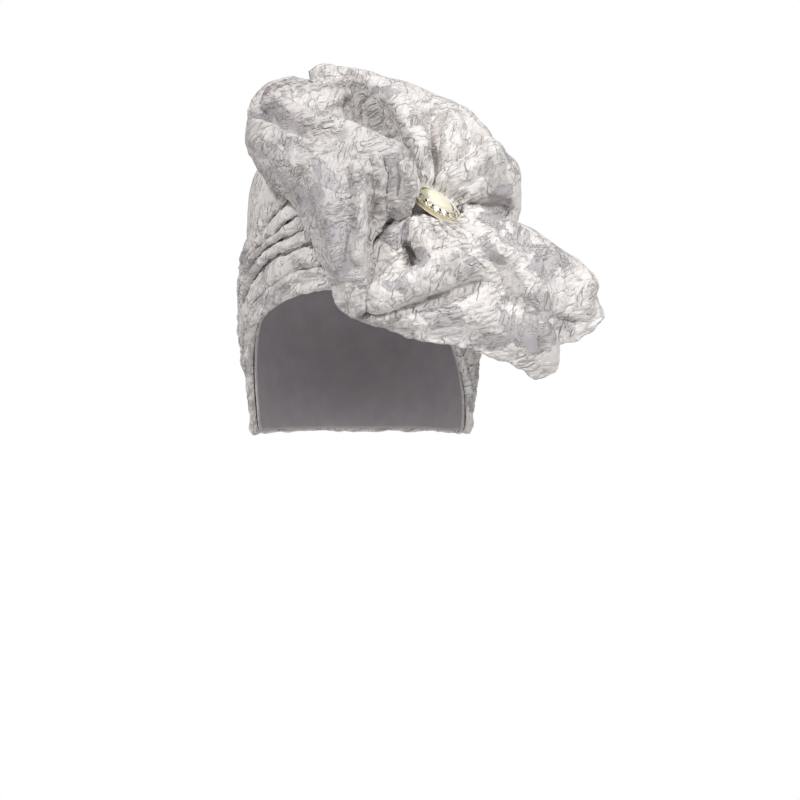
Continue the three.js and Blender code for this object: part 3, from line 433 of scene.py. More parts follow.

# Where the puffed yarn is thin over the satin, in the same terms. The patches at X -38, Z 95
# and X -33, Z 114 are painted shade on the top of the loop
SHEER_PATCHES = (
    (-12.5, 54, 14, 14, 0), (-8.5, 8.5, 9, 18, 0), (-38, 95, 21.5, 6.5, 0),
    (-28, 131, 22, 8, 0), (-33, 114, 17, 7, -12), (60, 19, 12, 6, 20), (107, -20, 18, 8, -20),
)


def lattice(points, seed):
    """Three smooth random values from -1 to 1 at each point, one lump to a unit."""
    dice = np.random.default_rng(seed)
    order = dice.permutation(256)
    values = dice.uniform(-1, 1, (256, 3))
    corner = np.floor(points).astype(np.int64)
    part = points - corner
    ease = part ** 3 * (part * (part * 6 - 15) + 10)
    total = np.zeros(points.shape[:-1] + (3,))
    for step in itertools.product((0, 1), repeat=3):
        near = (corner + np.array(step)) & 255
        weight = np.prod(np.where(step, ease, 1 - ease), axis=-1)
        index = order[(order[(order[near[..., 0]] + near[..., 1]) & 255] + near[..., 2]) & 255]
        total += weight[..., None] * values[index]
    return total


def scattered_cells(points, seed, marked):
    """The nearest of a field of scattered centres: its code, the way to its border, and the way to
    the outline of the marked kinds of cell, less than nothing inside them."""
    dice = np.random.default_rng(seed)
    order = dice.permutation(256)
    jitter = dice.uniform(0.08, 0.92, (256, 3))
    corner = np.floor(points).astype(np.int64)
    first, second, inside, outside = (np.full(points.shape[:-1], 9.0) for _ in range(4))
    code = np.zeros(points.shape[:-1], dtype=np.int64)
    for step in itertools.product((-1, 0, 1), repeat=3):
        cell = corner + np.array(step)
        near = cell & 255
        index = order[(order[(order[near[..., 0]] + near[..., 1]) & 255] + near[..., 2]) & 255]
        spot = cell + jitter[index]
        away = np.linalg.norm(points - spot, axis=-1)
        closer = away < first
        second = np.where(closer, first, np.minimum(second, away))
        code = np.where(closer, index, code)
        first = np.where(closer, away, first)
        inside = np.where(marked[index], np.minimum(inside, away), inside)
        outside = np.where(marked[index], outside, np.minimum(outside, away))
    return code, (second - first) / 2, (inside - outside) / 2


def ramp(value, low, high):
    """A smooth step from 0 at the low value to 1 at the high one."""
    part = np.clip((value - low) / (high - low), 0, 1)
    return part * part * (3 - 2 * part)


def ridged(values, sharpness=2.2):
    """Sharp crests, 1 high, where a smooth noise crosses zero, and level ground away from them."""
    return np.clip(1 - sharpness * np.abs(values), 0, 1)


def shingled(values):
    """A slow rise and a sudden fall, over and over, like overlapping scales."""
    part = values - np.floor(values)
    return np.where(part < 0.82, part / 0.82, (1 - part) / 0.18)


def turned(points, tilt):
    """Points in a frame whose first axis runs at a tilt in degrees across the front."""
    cos, sin = math.cos(math.radians(tilt)), math.sin(math.radians(tilt))
    x, y, z = points[..., 0], points[..., 1], points[..., 2]
    return np.stack([x * cos + z * sin, y, z * cos - x * sin], axis=-1)


def patch_way(points, patches):
    """The way in millimetres to the nearest of the front's patches, less than nothing inside one."""
    way = np.full(points.shape[:-1], FAR)
    for x, z, length, width, tilt in patches:
        local = turned(points - np.array((x, 0, z)), tilt)
        reach = np.hypot(local[..., 0] / length, local[..., 2] / width)
        way = np.minimum(way, (reach - 1) * min(length, width))
    return np.where(points[..., 1] < FRONT_FACING, way, FAR)


def brocade(points, seed, satin_share=SATIN_SHARE, sheer_share=SHEER_SHARE, full=1.0):
    """The cloque cloth's relief in millimetres, and what its material reads.

    edge is the way in millimetres to the outline of the satin, less than nothing on it;
    cover is how closely the puffed yarn covers a patch, and seam is the way to the
    nearest crack between two petals.
    """
    wander = lattice(points / 13, seed) * 6.5 + lattice(points / 5, seed + 1) * 2.6
    wander += lattice(points / 2.4, seed + 9) * 0.9
    kinds = np.random.default_rng(seed + 3).random((256, 3))
    code, border, edge = scattered_cells((points + wander) / PETAL, seed + 2, kinds[:, 0] < satin_share)
    moved = points + 0.8 * wander
    border = border * PETAL
    edge = np.clip(np.minimum(edge * PETAL, patch_way(moved, SATIN_PATCHES)), -FAR, FAR)
    traits = kinds[code]
    satin = edge < 0
    sheer = (traits[..., 0] < satin_share + sheer_share) | (patch_way(moved, SHEER_PATCHES) < 0)
    cover = np.where(satin, 0.1 + 0.4 * traits[..., 1], np.where(sheer, 0.5 + 0.3 * traits[..., 2], full))

    swirl = lattice(points / 24, seed + 4)
    warped = points + 6 * swirl + 2.2 * lattice(points / 6, seed + 5)
    gate = ramp(swirl[..., 1], -0.05, 0.05)
    lines = np.zeros(gate.shape)
    for tilt, share in zip(CRINKLE_TILTS, (1 - gate, gate)):
        stretched = turned(warped, tilt) / np.array(CRINKLE)
        swing = lattice(stretched, seed + 6)
        scale = shingled(stretched[..., 2] + 1.6 * swing[..., 0])
        lines += share * (0.85 * scale + 0.25 * ridged(swing[..., 1], 2.6))
    parted = ramp(swirl[..., 2], -0.3, -0.05)
    inner = 1 - parted * (1 - ramp(border, 0, 1.1))
    lines *= 0.25 + 0.75 * ramp(lattice(points / 9, seed + 8)[..., 0], -0.25, 0.3)
    puffed = 0.5 * traits[..., 2] * parted + inner * (0.3 + 0.6 * lines) - 0.3
    height = np.where(sheer, 0.4 * inner * lines, puffed)
    rise = ramp(edge, -0.1, 0.7)
    values = {"edge": edge, "cover": cover, "seam": border + 5 * (1 - parted)}
    return height * rise - 0.3 * (1 - rise), values


def hermite(knots, steps):
    """Weights that carry values at the knots to a smooth curve at the steps."""
    knots = np.asarray(knots, dtype=float)
    count = len(knots)
    slopes = np.zeros((count, count))
    for i in range(count):
        if i == 0 or i == count - 1:
            a = min(i, count - 2)
            slopes[i, a], slopes[i, a + 1] = np.array((-1, 1)) / (knots[a + 1] - knots[a])
            continue
        share = (knots[i + 1] - knots[i]) / (knots[i + 1] - knots[i - 1])
        slopes[i, i - 1:i + 1] += np.array((-1, 1)) * share / (knots[i] - knots[i - 1])
        slopes[i, i:i + 2] += np.array((-1, 1)) * (1 - share) / (knots[i + 1] - knots[i])
    steps = np.asarray(steps, dtype=float)
    at = np.clip(np.searchsorted(knots, steps) - 1, 0, count - 2)
    span = knots[at + 1] - knots[at]
    u = (steps - knots[at]) / span
    weights = np.zeros((len(steps), count))
    rows = np.arange(len(steps))
    weights[rows, at] += 2 * u ** 3 - 3 * u ** 2 + 1
    weights[rows, at + 1] += 3 * u ** 2 - 2 * u ** 3
    weights += ((u ** 3 - 2 * u ** 2 + u) * span)[:, None] * slopes[at]
    weights += ((u ** 3 - u ** 2) * span)[:, None] * slopes[at + 1]
    return weights


def grid_normals(grid, closed=False):
    """Unit normals of a grid of points; a closed grid runs round on its rows."""
    if closed:
        down = np.roll(grid, -1, axis=0) - np.roll(grid, 1, axis=0)
    else:
        down = np.gradient(grid, axis=0)
    across = np.gradient(grid, axis=1)
    normals = np.cross(down, across)
    return normals / np.maximum(np.linalg.norm(normals, axis=-1, keepdims=True), 1e-9)


def edge_height(name, angles):
    """Heights of one edge of the wrap's folds at angles round the cap."""
    inside = np.clip(angles, AROUND[0], AROUND[-1])
    return hermite(AROUND, inside.ravel()).dot(EDGES[name]).reshape(angles.shape)


def cap_halves(heights):
    """Half width and half depth of the cap at each height."""
    taper = ramp(heights, 0, NAPE_LEVEL)
    lift = np.clip((heights - CAP_SHOULDER) / CAP_RISE, 0, 0.999)
    narrow = (1 - lift ** CAP_SIDE_SQUARENESS) ** (1 / CAP_SIDE_SQUARENESS)
    draw = (1 - lift ** CAP_FRONT_SQUARENESS) ** (1 / CAP_FRONT_SQUARENESS)
    width = (CAP_HALF_WIDTH + (NAPE_HALF_WIDTH - CAP_HALF_WIDTH) * taper) * narrow
    depth = (CAP_HALF_DEPTH + (NAPE_HALF_DEPTH - CAP_HALF_DEPTH) * taper) * draw
    return width, depth


def cap_points(angles, heights):
    """Points in the middle of the cap's wall."""
    turn = np.radians(angles)
    width, depth = cap_halves(heights)
    return np.stack([width * np.sin(turn), -depth * np.cos(turn), heights], axis=-1)


def cap_frame(angles, heights):
    """Points in the middle of the cap's wall and the way out of it."""
    along = cap_points(angles + 1, heights) - cap_points(angles - 1, heights)
    up = cap_points(angles, heights + 0.4) - cap_points(angles, heights - 0.4)
    normals = np.cross(along, up)
    normals /= np.maximum(np.linalg.norm(normals, axis=-1, keepdims=True), 1e-9)
    return cap_points(angles, heights), normals


def clear_of_cap(points, room):
    """Points of a sheet, with those inside the cap laid on it instead."""
    middle = points * np.array((0, 0, 1))
    middle[..., 2] = np.minimum(middle[..., 2], CAP_SHOULDER)

    def inside(spots):
        over = np.maximum(spots[..., 2] - CAP_SHOULDER, 0)
        level = np.minimum(spots[..., 2], CAP_SHOULDER) + over * CAP_RISE / (CAP_RISE + room)
        width, depth = cap_halves(level)
        around = (spots[..., 0] / (width + room)) ** 2 + (spots[..., 1] / (depth + room)) ** 2
        return (over < CAP_RISE + room) & (around < 1)

    within = inside(points)
    low, high = np.ones(within.shape), np.full(within.shape, 3.0)
    for _ in range(22):
        half = (low + high) / 2
        still = inside(middle + (points - middle) * half[..., None])
        low, high = np.where(still, half, low), np.where(still, high, half)
    return np.where(within[..., None], middle + (points - middle) * high[..., None], points)


def crease_lift(points, sections, sheet):
    """How far the pressed folds lift a sheet's points."""
    lift = np.zeros(points.shape[:-1])
    for on, half_width, height, first, last, path in CREASES.values():
        if on != sheet:
            continue
        near = np.full(lift.shape, np.inf)
        for (ax, az), (bx, bz) in zip(path, path[1:]):
            dx, dz = bx - ax, bz - az
            u = ((points[..., 0] - ax) * dx + (points[..., 2] - az) * dz) / (dx * dx + dz * dz)
            u = np.clip(u, 0, 1)
            near = np.minimum(near, np.hypot(points[..., 0] - ax - u * dx, points[..., 2] - az - u * dz))
        bell = np.where(near < half_width, (1 + np.cos(math.pi * near / half_width)) / 2, 0)
        gate = ramp(sections, first - 0.6, first) * (1 - ramp(sections, last, last + 0.6))
        lift += height * bell * gate
    return lift


def edge_distance(grid):
    """How far each point of a grid is from its four edges: first row, last row, first and last column."""
    down = np.cumsum(np.linalg.norm(np.diff(grid, axis=0, prepend=grid[:1]), axis=-1), axis=0)
    across = np.cumsum(np.linalg.norm(np.diff(grid, axis=1, prepend=grid[:, :1]), axis=-1), axis=1)
    return down, down[-1:] - down, across, across[:, -1:] - across


def point_numbers(rows, cols, closed):
    """The number of each point of a grid; a closed one ends on the row it starts with."""
    index = np.arange(rows * cols).reshape(rows, cols)
    return np.vstack([index, index[:1]]) if closed else index


def quads(index):
    """The four corners of each cell of a grid of point numbers."""
    corners = index[:-1, :-1], index[1:, :-1], index[1:, 1:], index[:-1, 1:]
    return np.stack(corners, axis=-1).reshape(-1, 4)


def shell_faces(rows, cols, closed):
    """Quads of a front and a back layer of one grid, joined round their edges."""
    index = point_numbers(rows, cols, closed)
    front = quads(index)
    count = rows * cols
    parts = [front, front[:, ::-1] + count]
    rims = [(index[:, 0], True), (index[:, -1], False)]
    if not closed:
        rims += [(index[0], False), (index[-1], True)]
    for line, flipped in rims:
        rim = np.stack([line[:-1], line[1:], line[1:] + count, line[:-1] + count], axis=-1)
        parts.append(rim[:, ::-1] if flipped else rim)
    return np.vstack(parts)


def cloth_object(name, points, faces, values, material):
    """A smooth mesh from points in millimetres, faces of four corners and named point values."""
    mesh = bpy.data.meshes.new(name)
    mesh.vertices.add(len(points))
    mesh.vertices.foreach_set("co", (points * MM).astype(np.float32).ravel())
    mesh.loops.add(faces.size)
    mesh.polygons.add(len(faces))
    corners = points[faces]
    normals = np.cross(corners[:, 2] - corners[:, 0], corners[:, 3] - corners[:, 1])
    if np.sum(normals * corners.mean(axis=1)) < 0:
        faces = faces[:, ::-1]
    mesh.loops.foreach_set("vertex_index", faces.ravel().astype(np.int32))
    mesh.polygons.foreach_set("loop_start", np.arange(0, faces.size, 4, dtype=np.int32))
    mesh.update(calc_edges=True)
    mesh.validate()
    mesh.shade_smooth()
    for key, data in values.items():
        layer = mesh.attributes.new(key, "FLOAT", "POINT")
        layer.data.foreach_set("value", data.astype(np.float32))
    piece = bpy.data.objects.new(name, mesh)
    bpy.context.scene.collection.objects.link(piece)
    mesh.materials.append(material)
    return piece


def flattened(values):
    """Named grids of point values as one list of points each."""
    return {key: data.ravel() for key, data in values.items()}


def dressed(grids, normals, half, seeds, shares):
    """Front and back layers of a sheet with the brocade's relief on both."""
    points, layers = [], []
    for side, seed in zip((1, -1), seeds):
        height, values = brocade(grids, seed, SATIN_SHARE, *shares)
        out = half + BOW_RELIEF * height * np.clip(half / (BOW_WALL / 2), 0, 1)
        points.append((grids + normals * (side * out)[..., None]).reshape(-1, 3))
        layers.append(flattened(values))
    return np.vstack(points), {key: np.concatenate([layer[key] for layer in layers]) for key in layers[0]}


def sheet_middle(name, table, counts, outward, gathers):
    """The middle surface of a bow sheet: its table, its pressed folds, its gathers and its drape."""
    rows = np.array(list(table.values()), dtype=float)
    down = np.concatenate([[0], np.cumsum(np.linalg.norm(np.diff(rows, axis=0), axis=2).mean(axis=1))])
    across = np.concatenate([[0], np.cumsum(np.linalg.norm(np.diff(rows, axis=1), axis=2).mean(axis=0))])
    steps = np.linspace(0, down[-1], counts[0])
    sides = np.linspace(0, across[-1], counts[1])
    grid = np.einsum("ai,bj,ijk->abk", hermite(down, steps), hermite(across, sides), rows)
    sections = np.interp(steps, down, np.arange(len(rows)))[:, None] * np.ones(counts[1])
    lift = crease_lift(grid, sections, name)
    if gathers:
        depth, reach = gathers
        wave = np.cos(2 * math.pi * (sections * 1.15 + 0.35 * lattice(grid / 16, 71)[..., 0]))
        lift += depth * wave * (1 - ramp(edge_distance(grid)[2], 0, reach))
    run = np.stack([steps[:, None] / 15 + 0 * sections, sides / 60 + 0 * sections, 0 * sections], axis=-1)
    bend = lattice(grid / 38, 43)
    long_folds = ridged(lattice(run + 0.5 * bend, 44)[..., 0], 1.7)
    crush = ridged(lattice(grid / 17, 45)[..., 0], 1.8)
    amount = ramp(bend[..., 2], -0.4, 0.5)
    lift = lift * outward + 1.1 * bend[..., 0]
    lift += outward * (LONG_FOLD * amount * (long_folds - 0.4) + CRUSH * (crush - 0.5))
    return grid + grid_normals(grid) * lift[..., None]


def bow_sheet(name, sheet, table, counts, outward, gathers, hem, seed, material):
    """One doubled sheet of the bow as a closed cloth body with soft edges."""
    grid = clear_of_cap(sheet_middle(sheet, table, counts, outward, gathers), CAP_WALL / 2 + 1.4)
    normals = grid_normals(grid)
    edges = edge_distance(grid)
    near = np.minimum.reduce(edges)
    grid = grid + EDGE_WAVER * lattice(grid / 5, seed + 20) * np.exp(-((near / 4) ** 2))[..., None]
    roll = np.zeros(near.shape)
    if hem:
        side, thick, wide = hem
        roll = thick * np.exp(-(((edges[side] - wide) / wide) ** 2))
    nose = np.sqrt(np.clip(1 - (1 - np.clip(near / (BOW_FEATHER + roll), 0, 1)) ** 2, 0, 1))
    half = 0.06 + (BOW_WALL / 2 + roll) * nose
    # The loop's thinner, sheerer yarn is partly painted shade that darkens the whole loop
    shares = (LOOP_SHEER_SHARE, LOOP_COVER) if sheet == "loop" else (SHEER_SHARE, 1.0)
    points, values = dressed(grid, normals, half, (seed, seed + 50), shares)
    faces = shell_faces(*grid.shape[:2], False)
    return cloth_object(name, points, faces, values, material)


def tube_faces(rows, cols, closed):
    """Quads of a tube: rows of closed sections, joined into a ring or closed at both ends."""
    index = point_numbers(rows, cols, closed)
    index = np.hstack([index, index[:, :1]])
    parts = [quads(index)]
    if not closed:
        parts += [end_faces(index[0, :-1], True), end_faces(index[-1, :-1], False)]
    return np.vstack(parts)


def end_faces(ring, flipped):
    """A ladder of quads that closes a ring with an even number of points."""
    half = len(ring) // 2
    left, right = ring[:half], ring[::-1][:half]
    faces = np.stack([left[:-1], left[1:], right[1:], right[:-1]], axis=-1)
    return faces[:, ::-1] if flipped else faces


# Section of a fold of the wrap, as shares of its width and its height: the rounded lower
# lip hangs a little over the fold below and the upper edge slips under the next one
FOLD_ACROSS = (0.08, -0.08, -0.13, -0.02, 0.20, 0.46, 0.72, 1.00)
FOLD_OUT = (0.04, 0.36, 0.84, 1.22, 1.40, 1.16, 0.46, 0.00)
BAND_ACROSS = (0.05, -0.03, -0.05, 0.02, 0.12, 0.24, 0.36, 0.62, 0.86, 1.08)
BAND_OUT = (0.04, 0.30, 0.80, 1.16, 1.24, 0.90, 0.70, 1.04, 0.62, 0.02)


def fold_strip(name, lower, upper, counts, section, seed, material):
    """One fold of the wrap as a closed tube that lies on the cap."""
    ring = lower == "rim_band"
    around, front, back = counts
    span = 180 if ring else FOLD_END
    angles = np.linspace(-span, span, around, endpoint=not ring)
    foot = edge_height(lower, angles)
    head = edge_height(upper, angles)
    spots = cap_points(angles, (foot + head) / 2)
    waver = lattice(spots / 15, seed)
    foot = foot + 0.7 * waver[:, 0] * ramp(head - foot, 2, 8)
    end = np.ones(around) if ring else np.clip((FOLD_END - np.abs(angles)) / 22, 0, 1)
    swell = FOLD_HEIGHT * (0.15 + 0.85 * np.sqrt(end)) * (1 + 0.2 * waver[:, 1])
    across, out = (np.array(line) for line in section)
    length = np.concatenate([[0], np.cumsum(np.hypot(np.diff(across) * 2.2, np.diff(out)))])
    line = hermite(length, np.linspace(0, length[-1], front))
    across = np.concatenate([line @ across, np.linspace(section[0][-1], section[0][0], back + 2)[1:-1]])
    out = np.concatenate([line @ out, np.zeros(back)])
    heights = foot[:, None] + (head - foot)[:, None] * across
    middle, normals = cap_frame(angles[:, None] * np.ones(len(across)), heights)
    rise = CAP_WALL / 2 + FOLD_SEAT + out * swell[:, None]
    grid = middle + normals * rise[..., None]
    loop = np.hstack([grid[:, -1:], grid, grid[:, :1]])
    if ring:
        outward = grid_normals(loop, closed=True)[:, 1:-1]
    else:
        outward = grid_normals(loop)[:, 1:-1]
    if np.sum(outward[:, :front] * normals[:, :front]) < 0:
        outward = -outward
    height, values = brocade(grid, seed, FOLD_SATIN_SHARE)
    shown = np.concatenate([ramp(np.arange(front), 0, 3) * (1 - ramp(np.arange(front), front - 4, front)),
                            np.zeros(back)])
    dents = 1.0 * (ridged(lattice(grid / np.array((11, 11, 5)), seed + 9)[..., 0], 1.8) - 0.5)
    grid = grid + outward * ((height * 0.7 + dents) * shown * (0.25 + 0.75 * end[:, None]))[..., None]
    faces = tube_faces(around, front + back, ring)
    return cloth_object(name, grid.reshape(-1, 3), faces, flattened(values), material)


def cap_crown(counts, seed, material):
    """The soft cap under the wrap: puffed brocade outside, its plain reverse inside."""
    around, wall_rows, dome_rows, top_rows = counts
    angles = np.linspace(-180, 180, around, endpoint=False)
    rim = edge_height("rim_band", angles) + 1.5
    wall = rim[:, None] + (CAP_SHOULDER - rim)[:, None] * np.linspace(0, 1, wall_rows, endpoint=False)
    turn = np.radians(np.linspace(0, 80, dome_rows))
    dome = CAP_SHOULDER + CAP_RISE * np.sin(turn) ** (2 / CAP_FRONT_SQUARENESS)
    heights = np.hstack([wall, np.tile(dome, (around, 1))])
    middle, normals = cap_frame(angles[:, None] * np.ones(heights.shape[1]), heights)
    peak = CAP_SHOULDER + CAP_RISE
    share = np.linspace(1, 0.03, top_rows + 1)[1:, None]
    last = middle[:, -1:]
    top = last * np.concatenate([share, share, 0 * share], axis=1)
    top[..., 2] = peak - (peak - last[..., 2]) * share[:, 0] ** 2
    grid = np.hstack([middle, top])
    outward = grid_normals(grid, closed=True)
    if np.sum(outward[:, :wall_rows] * normals[:, :wall_rows]) < 0:
        outward = -outward
    height, values = brocade(grid, seed)
    near = edge_distance(grid)[2]
    soft = ramp(near, 0, 3)
    outer = grid + outward * (CAP_WALL / 2 + (0.6 * height - 0.1) * soft)[..., None]
    inner = grid - outward * (CAP_WALL / 2 + 0.12 * lattice(grid / 3, seed + 5)[..., :1])
    points = np.vstack([outer.reshape(-1, 3), inner.reshape(-1, 3)])
    plain = np.full(height.shape, FAR)
    reverse = {"edge": -plain, "cover": 0 * plain, "seam": plain}
    front, back = flattened(values), flattened(reverse)
    values = {key: np.concatenate([front[key], back[key]]) for key in front}
    rows, cols = grid.shape[:2]
    # Both layers are closed at the top, so the shell's last rim, which would join them there, is left off
    shell = shell_faces(rows, cols, True)[:-rows]
    top_ring = point_numbers(rows, cols, False)[:, -1]
    closing = [end_faces(top_ring, False), end_faces(top_ring + rows * cols, True)]
    return cloth_object("crown_cloth", points, np.vstack([shell] + closing), values, material)


def knot_gathers(counts, seed, material):
    """The pinched middle of the bow: gathers run out from under the brooch."""
    around, poles = counts
    turn = np.linspace(0, 2 * math.pi, around, endpoint=False)[:, None] * np.ones(poles)
    polar = np.linspace(0.03, math.pi - 0.03, poles)[None, :] * np.ones((around, 1))
    girth = np.sin(polar)
    ball = np.stack([girth * np.cos(turn), np.cos(polar), girth * np.sin(turn)], axis=-1)
    ball *= (1 + 0.05 * girth * np.cos(9 * turn))[..., None]
    spin = np.array(Vector((0, 1, 0)).rotation_difference(BROOCH_NORMAL).to_matrix())
    grid = ball @ spin.T * np.array(KNOT_RADII) + np.array(KNOT_CENTRE)
    outward = grid_normals(grid, closed=True)
    if np.sum(outward * (grid - np.array(KNOT_CENTRE))) < 0:
        outward = -outward
    wave = turn * 23 + 1.6 * lattice(grid / 6, seed)[..., 0]
    pleat = 0.9 * np.abs(np.cos(wave / 2)) * girth
    height, values = brocade(grid, seed)
    grid = grid + outward * (pleat + 0.35 * height * girth)[..., None]
    grid = clear_of_cap(grid, CAP_WALL / 2 + 0.6)
    faces = tube_faces(poles, around, False)
    order = np.arange(around * poles).reshape(around, poles).T.ravel()
    values = {key: data[order] for key, data in flattened(values).items()}
    return cloth_object("knot_gathers", grid.reshape(-1, 3)[order], faces, values, material)


def colour(code):
    """Linear colour of an sRGB hex value."""
    parts = [int(code[i:i + 2], 16) / 255 for i in (1, 3, 5)]
    return [p / 12.92 if p <= 0.04045 else ((p + 0.055) / 1.055) ** 2.4 for p in parts] + [1]


def node(tree, kind, settings, sockets, output=0):
    """Adds a node, sets its properties, sets or links its sockets and gives one of its outputs."""
    made = tree.nodes.new(kind)
    for key, value in settings.items():
        setattr(made, key, value)
    for key, value in sockets.items():
        if isinstance(value, bpy.types.NodeSocket):
            tree.links.new(value, made.inputs[key])
        else:
            made.inputs[key].default_value = value
    return made.outputs[output]


# Kinds of node and settings that the materials use again and again. Sockets with a shared name go
# by number: a sum's run from 0. A range's are its value, then from low and high, to low and high.
# A mix's are its share, 0, and then two numbers, 2 and 3, or two colours, 6 and 7.
MATHS = "ShaderNodeMath"
MIX = "ShaderNodeMix"
NOISE = "ShaderNodeTexNoise"
RANGE = "ShaderNodeMapRange"
PLUS = {"operation": "ADD"}
TIMES = {"operation": "MULTIPLY"}
TIMES_PLUS = {"operation": "MULTIPLY_ADD"}
SIZE_OF = {"operation": "ABSOLUTE"}
SMOOTH = {"interpolation_type": "SMOOTHSTEP"}
COLOURS = {"data_type": "RGBA"}


def new_material(name, values):
    """A material, its shader, the function that adds nodes to it and its Object coordinates."""
    material = bpy.data.materials.new(name)
    material.use_nodes = True
    tree = material.node_tree
    shader = tree.nodes["Principled BSDF"]
    for key, value in values.items():
        shader.inputs[key].default_value = value
    add = partial(node, tree)
    return material, shader, add, add("ShaderNodeTexCoord", {}, {}, "Object")


def finished(material, shader, ends):
    """The material once outputs are linked to its shader's sockets."""
    for key, output in ends.items():
        material.node_tree.links.new(output, shader.inputs[key])
    return material


def per_mm(size):
    """Scale of a pattern on Object coordinates whose lumps are so many millimetres across."""
    return 1 / (size * MM)


def crinkle_ways(add, place, size):
    """Coordinates turned to each way the crinkles run, in which lumps of a size in mm are 1 across."""
    scale = [side * MM for side in size]
    return [add("ShaderNodeMapping", {"vector_type": "TEXTURE"},
                {"Vector": place, "Rotation": (0, -math.radians(tilt), 0), "Scale": scale})
            for tilt in CRINKLE_TILTS]


def crossed_noise(add, place, gate, size, detail):
    """One stretched noise that runs two ways, each on its own part of the cloth."""
    look = {"Scale": 1, "Detail": detail, "Roughness": 0.55, "Distortion": 0.3}
    ways = [add(NOISE, {}, {"Vector": way, **look}) for way in crinkle_ways(add, place, size)]
    return add(MIX, {}, {0: gate, 2: ways[0], 3: ways[1]})


def crossed_scales(add, place, gate, size, waver):
    """Overlapping scales that run two ways: their height, and how far along its rise each one is."""
    heights, rises = [], []
    for way in crinkle_ways(add, place, size):
        level = add("ShaderNodeSeparateXYZ", {}, {"Vector": way}, "Z")
        sway = add(NOISE, {}, {"Vector": way, "Scale": 1, "Detail": 2, "Roughness": 0.55})
        rise = add(MATHS, {"operation": "FRACT"}, {0: add(MATHS, TIMES_PLUS, {0: sway, 1: waver, 2: level})})
        fall = add(RANGE, SMOOTH, {0: rise, 1: 0.8, 2: 1, 3: 1, 4: 0})
        heights.append(add(MATHS, TIMES, {0: rise, 1: fall}))
        rises.append(rise)
    return add(MIX, {}, {0: gate, 2: heights[0], 3: heights[1]}), rises


